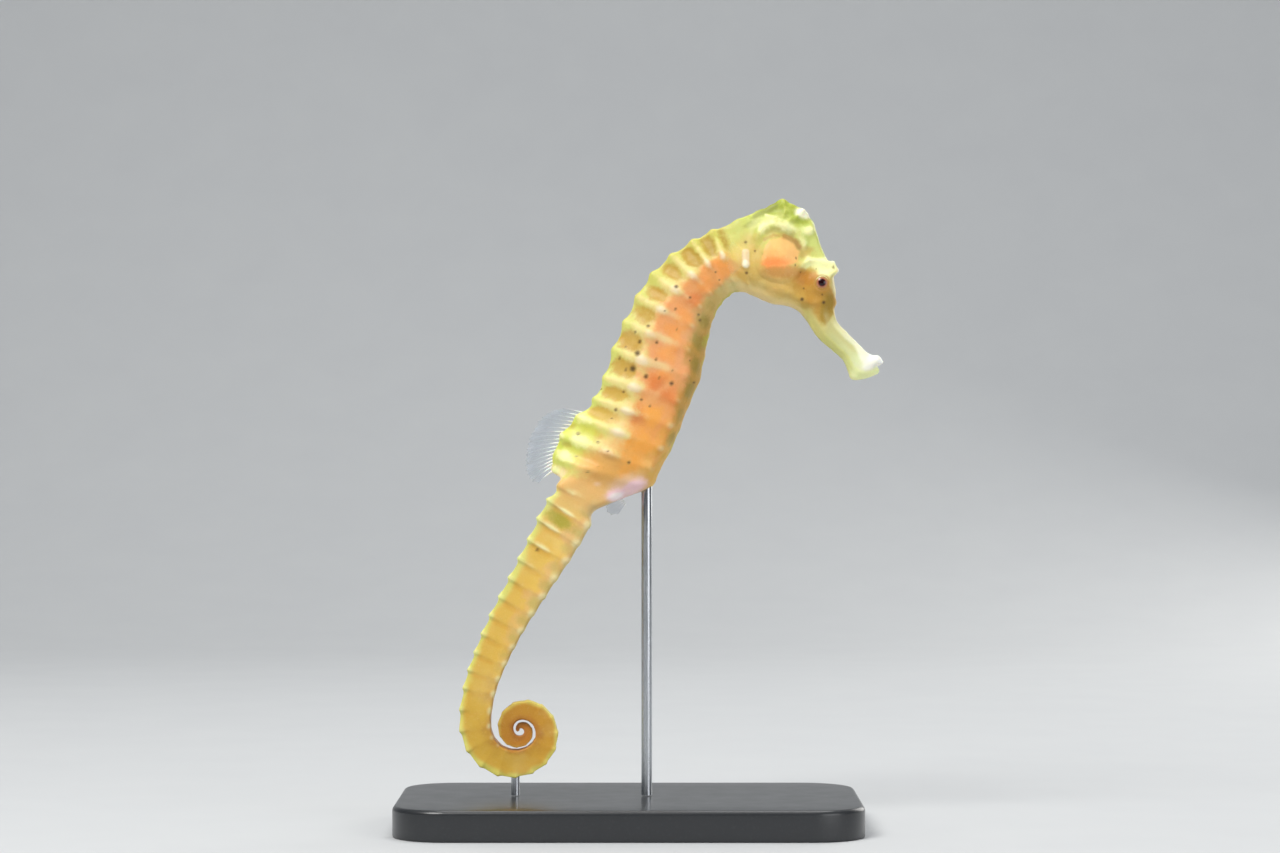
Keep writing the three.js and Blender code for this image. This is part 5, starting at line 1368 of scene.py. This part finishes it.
# ------------------------------------------------------------------ display stand
def stand_materials():
    n = Nodes("stand_lacquer")
    speck = n.noise(2400, 4, 0.6)
    col = n.mix(n.rng(speck, 0.55, 0.75, 0, 0.35, "LINEAR"), "#26282B", "#3A3C40")
    n.link(n.bump(n.noise(5200, 3), 0.06, 0.00003), n.bsdf.inputs["Normal"])
    base = n.set(Base_Color=col, Roughness=n.rng(n.noise(300, 4), 0.3, 0.7, 0.34, 0.38, "LINEAR"), Specular_IOR_Level=0.5, Coat_Weight=0.3, Coat_Roughness=0.12)
    s = Nodes("stand_steel")
    brush = s.noise(9000, 3, stretch=(1, 1, 0.03))
    col = s.mix(brush, "#9EA2A7", "#D3D6DA")
    s.link(s.bump(brush, 0.12, 0.00002), s.bsdf.inputs["Normal"])
    steel = s.set(Base_Color=col, Metallic=1.0, Roughness=s.rng(brush, 0.3, 0.7, 0.2, 0.34, "LINEAR"))
    return base, steel


LACQUER, STEEL = stand_materials()


def lathe_like(name, outline_rings, mat, replaces):
    """A closed solid from rings of equal length, bottom to top, with flat ends."""
    rings = [np.array(r, float) for r in outline_rings]
    m_ = len(rings[0])
    Vv = np.concatenate(rings + [rings[0].mean(0)[None], rings[-1].mean(0)[None]])
    q, tr = [], []
    for i in range(len(rings) - 1):
        for j in range(m_):
            q.append((i * m_ + j, i * m_ + (j + 1) % m_, (i + 1) * m_ + (j + 1) % m_, (i + 1) * m_ + j))
    last = (len(rings) - 1) * m_
    for j in range(m_):
        tr.append((len(Vv) - 2, (j + 1) % m_, j))
        tr.append((len(Vv) - 1, last + j, last + (j + 1) % m_))
    q, tr = np.array(q), np.array(tr)
    if signed_volume(Vv, q, tr) < 0:
        q, tr = q[:, ::-1], tr[:, ::-1]
    ob = mesh_object(name, Vv, q, tr)
    # the flat ends and walls stay flat, the rounded edges smooth
    ob.data.set_sharp_from_angle(angle=math.radians(35))
    ob.data.materials.append(mat)
    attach(ob, "root")
    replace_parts(ob, *replaces)
    return ob


def base_rings():
    L, W, H, R, B = 60.0, 36.0, 4.0, 7.0, 0.6
    lo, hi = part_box("stand_base")
    mid = [(lo[i] + hi[i]) / 2 / MM for i in (0, 1)]
    n_corner = 24

    def ring(inset, z):
        pts = []
        for cx, cy, a0 in ((L / 2 - R, W / 2 - R, 0), (-L / 2 + R, W / 2 - R, 90), (-L / 2 + R, -W / 2 + R, 180), (L / 2 - R, -W / 2 + R, 270)):
            for k in range(n_corner + 1):
                a = math.radians(a0 + 90 * k / n_corner)
                pts.append((mid[0] + cx + (R - inset) * math.cos(a), mid[1] + cy + (R - inset) * math.sin(a), z))
        return pts
    rows = [ring(6.0, 0.0), ring(0.25, 0.0)] + [ring(0.25 * (1 - math.sin(math.pi / 2 * k / 4)), 0.25 * (1 - math.cos(math.pi / 2 * k / 4))) for k in range(1, 5)]
    rows += [ring(B * (1 - math.cos(math.pi / 2 * k / 8)), H - B + B * math.sin(math.pi / 2 * k / 8)) for k in range(9)]
    rows.append(ring(6.0, H))
    return rows


def rod_rings(node, radius):
    lo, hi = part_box(node)
    cx, cy = (lo[0] + hi[0]) / 2 / MM, (lo[1] + hi[1]) / 2 / MM
    z0, z1 = lo[2] / MM, hi[2] / MM
    n_, b_ = 40, 0.12

    def ring(r, z):
        return [(cx + r * math.cos(2 * math.pi * k / n_), cy + r * math.sin(2 * math.pi * k / n_), z) for k in range(n_)]
    return [ring(radius, z0)] + [ring(radius, z0 + (z1 - b_ - z0) * k / 6) for k in range(1, 7)] + [ring(radius - b_ * 0.4, z1 - b_ * 0.3), ring(radius - b_, z1)]


lathe_like("stand_base_lacquered", base_rings(), LACQUER, ["stand_base"])
lathe_like("stand_rod_belly_steel", rod_rings("stand_rod_belly", 0.7), STEEL, ["stand_rod_belly"])
lathe_like("stand_rod_tail_steel", rod_rings("stand_rod_tail", 0.55), STEEL, ["stand_rod_tail"])


# ------------------------------------------------------------------ studio
def studio():
    w = bpy.data.worlds.new("studio")
    bpy.context.scene.world = w
    w.use_nodes = True
    bg = w.node_tree.nodes["Background"]
    bg.inputs[0].default_value = (0.86, 0.9, 0.95, 1)
    bg.inputs[1].default_value = 0.42
    # floor and backdrop in one sweep: a flat floor in a rounded-off rectangle, which turns up into walls all round
    around = 192
    rows = [(0.35 * math.sin(math.pi / 2 * k / 20), 0.35 - 0.35 * math.cos(math.pi / 2 * k / 20)) for k in range(21)] + [(0.35, 2.0)]
    verts, faces = [(0.0, -0.65, 0.0)], []
    for out, z in rows:
        for j in range(around):
            a = 2 * math.pi * j / around
            c, d = math.cos(a), math.sin(a)
            r = (abs(c / 1.7) ** 4 + abs(d / 1.0) ** 4) ** -0.25
            x, y = r * c, r * d
            gx, gy = abs(x) ** 3 * math.copysign(1, x) / 1.7 ** 4, abs(y) ** 3 * math.copysign(1, y)
            g = math.hypot(gx, gy)
            verts.append((x + out * gx / g, y - 0.65 + out * gy / g, z))
    for j in range(around):
        faces.append((0, 1 + j, 1 + (j + 1) % around))
    for i in range(len(rows) - 1):
        for j in range(around):
            p, q = 1 + i * around + j, 1 + i * around + (j + 1) % around
            faces.append((p, p + around, q + around, q))
    me = bpy.data.meshes.new("floor")
    me.from_pydata(verts, [], faces)
    me.polygons.foreach_set("use_smooth", np.ones(len(me.polygons), bool))
    floor = bpy.data.objects.new("floor", me)
    bpy.context.scene.collection.objects.link(floor)
    n = Nodes("floor_paper")
    col = n.mix(n.noise(60, 3), "#C6C8CA", "#CBCDCE")
    n.set(Base_Color=col, Roughness=0.85)
    me.materials.append(n.mat)

    def area(name, loc, target, size, watts, color=(1, 1, 1)):
        d = bpy.data.lights.new(name, "AREA")
        d.shape = "ELLIPSE"
        d.size, d.size_y = size
        d.energy = watts
        d.color = color
        o = bpy.data.objects.new(name, d)
        o.location = loc
        o.rotation_euler = (Vector(target) - Vector(loc)).to_track_quat("-Z", "Y").to_euler()
        bpy.context.scene.collection.objects.link(o)

    mid = (0.002, 0, 0.045)
    area("key", (-0.26, -0.36, 0.52), mid, (0.34, 0.34), 3.5, (1.0, 0.985, 0.955))
    area("fill", (0.44, -0.46, 0.12), mid, (0.44, 0.44), 1.25, (0.98, 0.985, 1.0))
    area("top", (0.06, 0.12, 0.60), mid, (0.4, 0.4), 1.6)
    area("rim", (0.30, 0.36, 0.16), mid, (0.3, 0.3), 0.6, (1.0, 0.98, 0.94))

    cam = bpy.data.cameras.new("camera")
    cam.lens, cam.sensor_width, cam.sensor_fit = 100.0, 36.0, "HORIZONTAL"
    cam.clip_start, cam.clip_end = 0.01, 20
    cam.dof.use_dof = False
    co = bpy.data.objects.new("camera", cam)
    co.location = (0.00143, -0.4622, 0.05204)
    co.rotation_euler = (math.pi / 2, 0, 0)
    bpy.context.scene.collection.objects.link(co)
    bpy.context.scene.camera = co
    bpy.context.scene.view_settings.view_transform = "Standard"


studio()
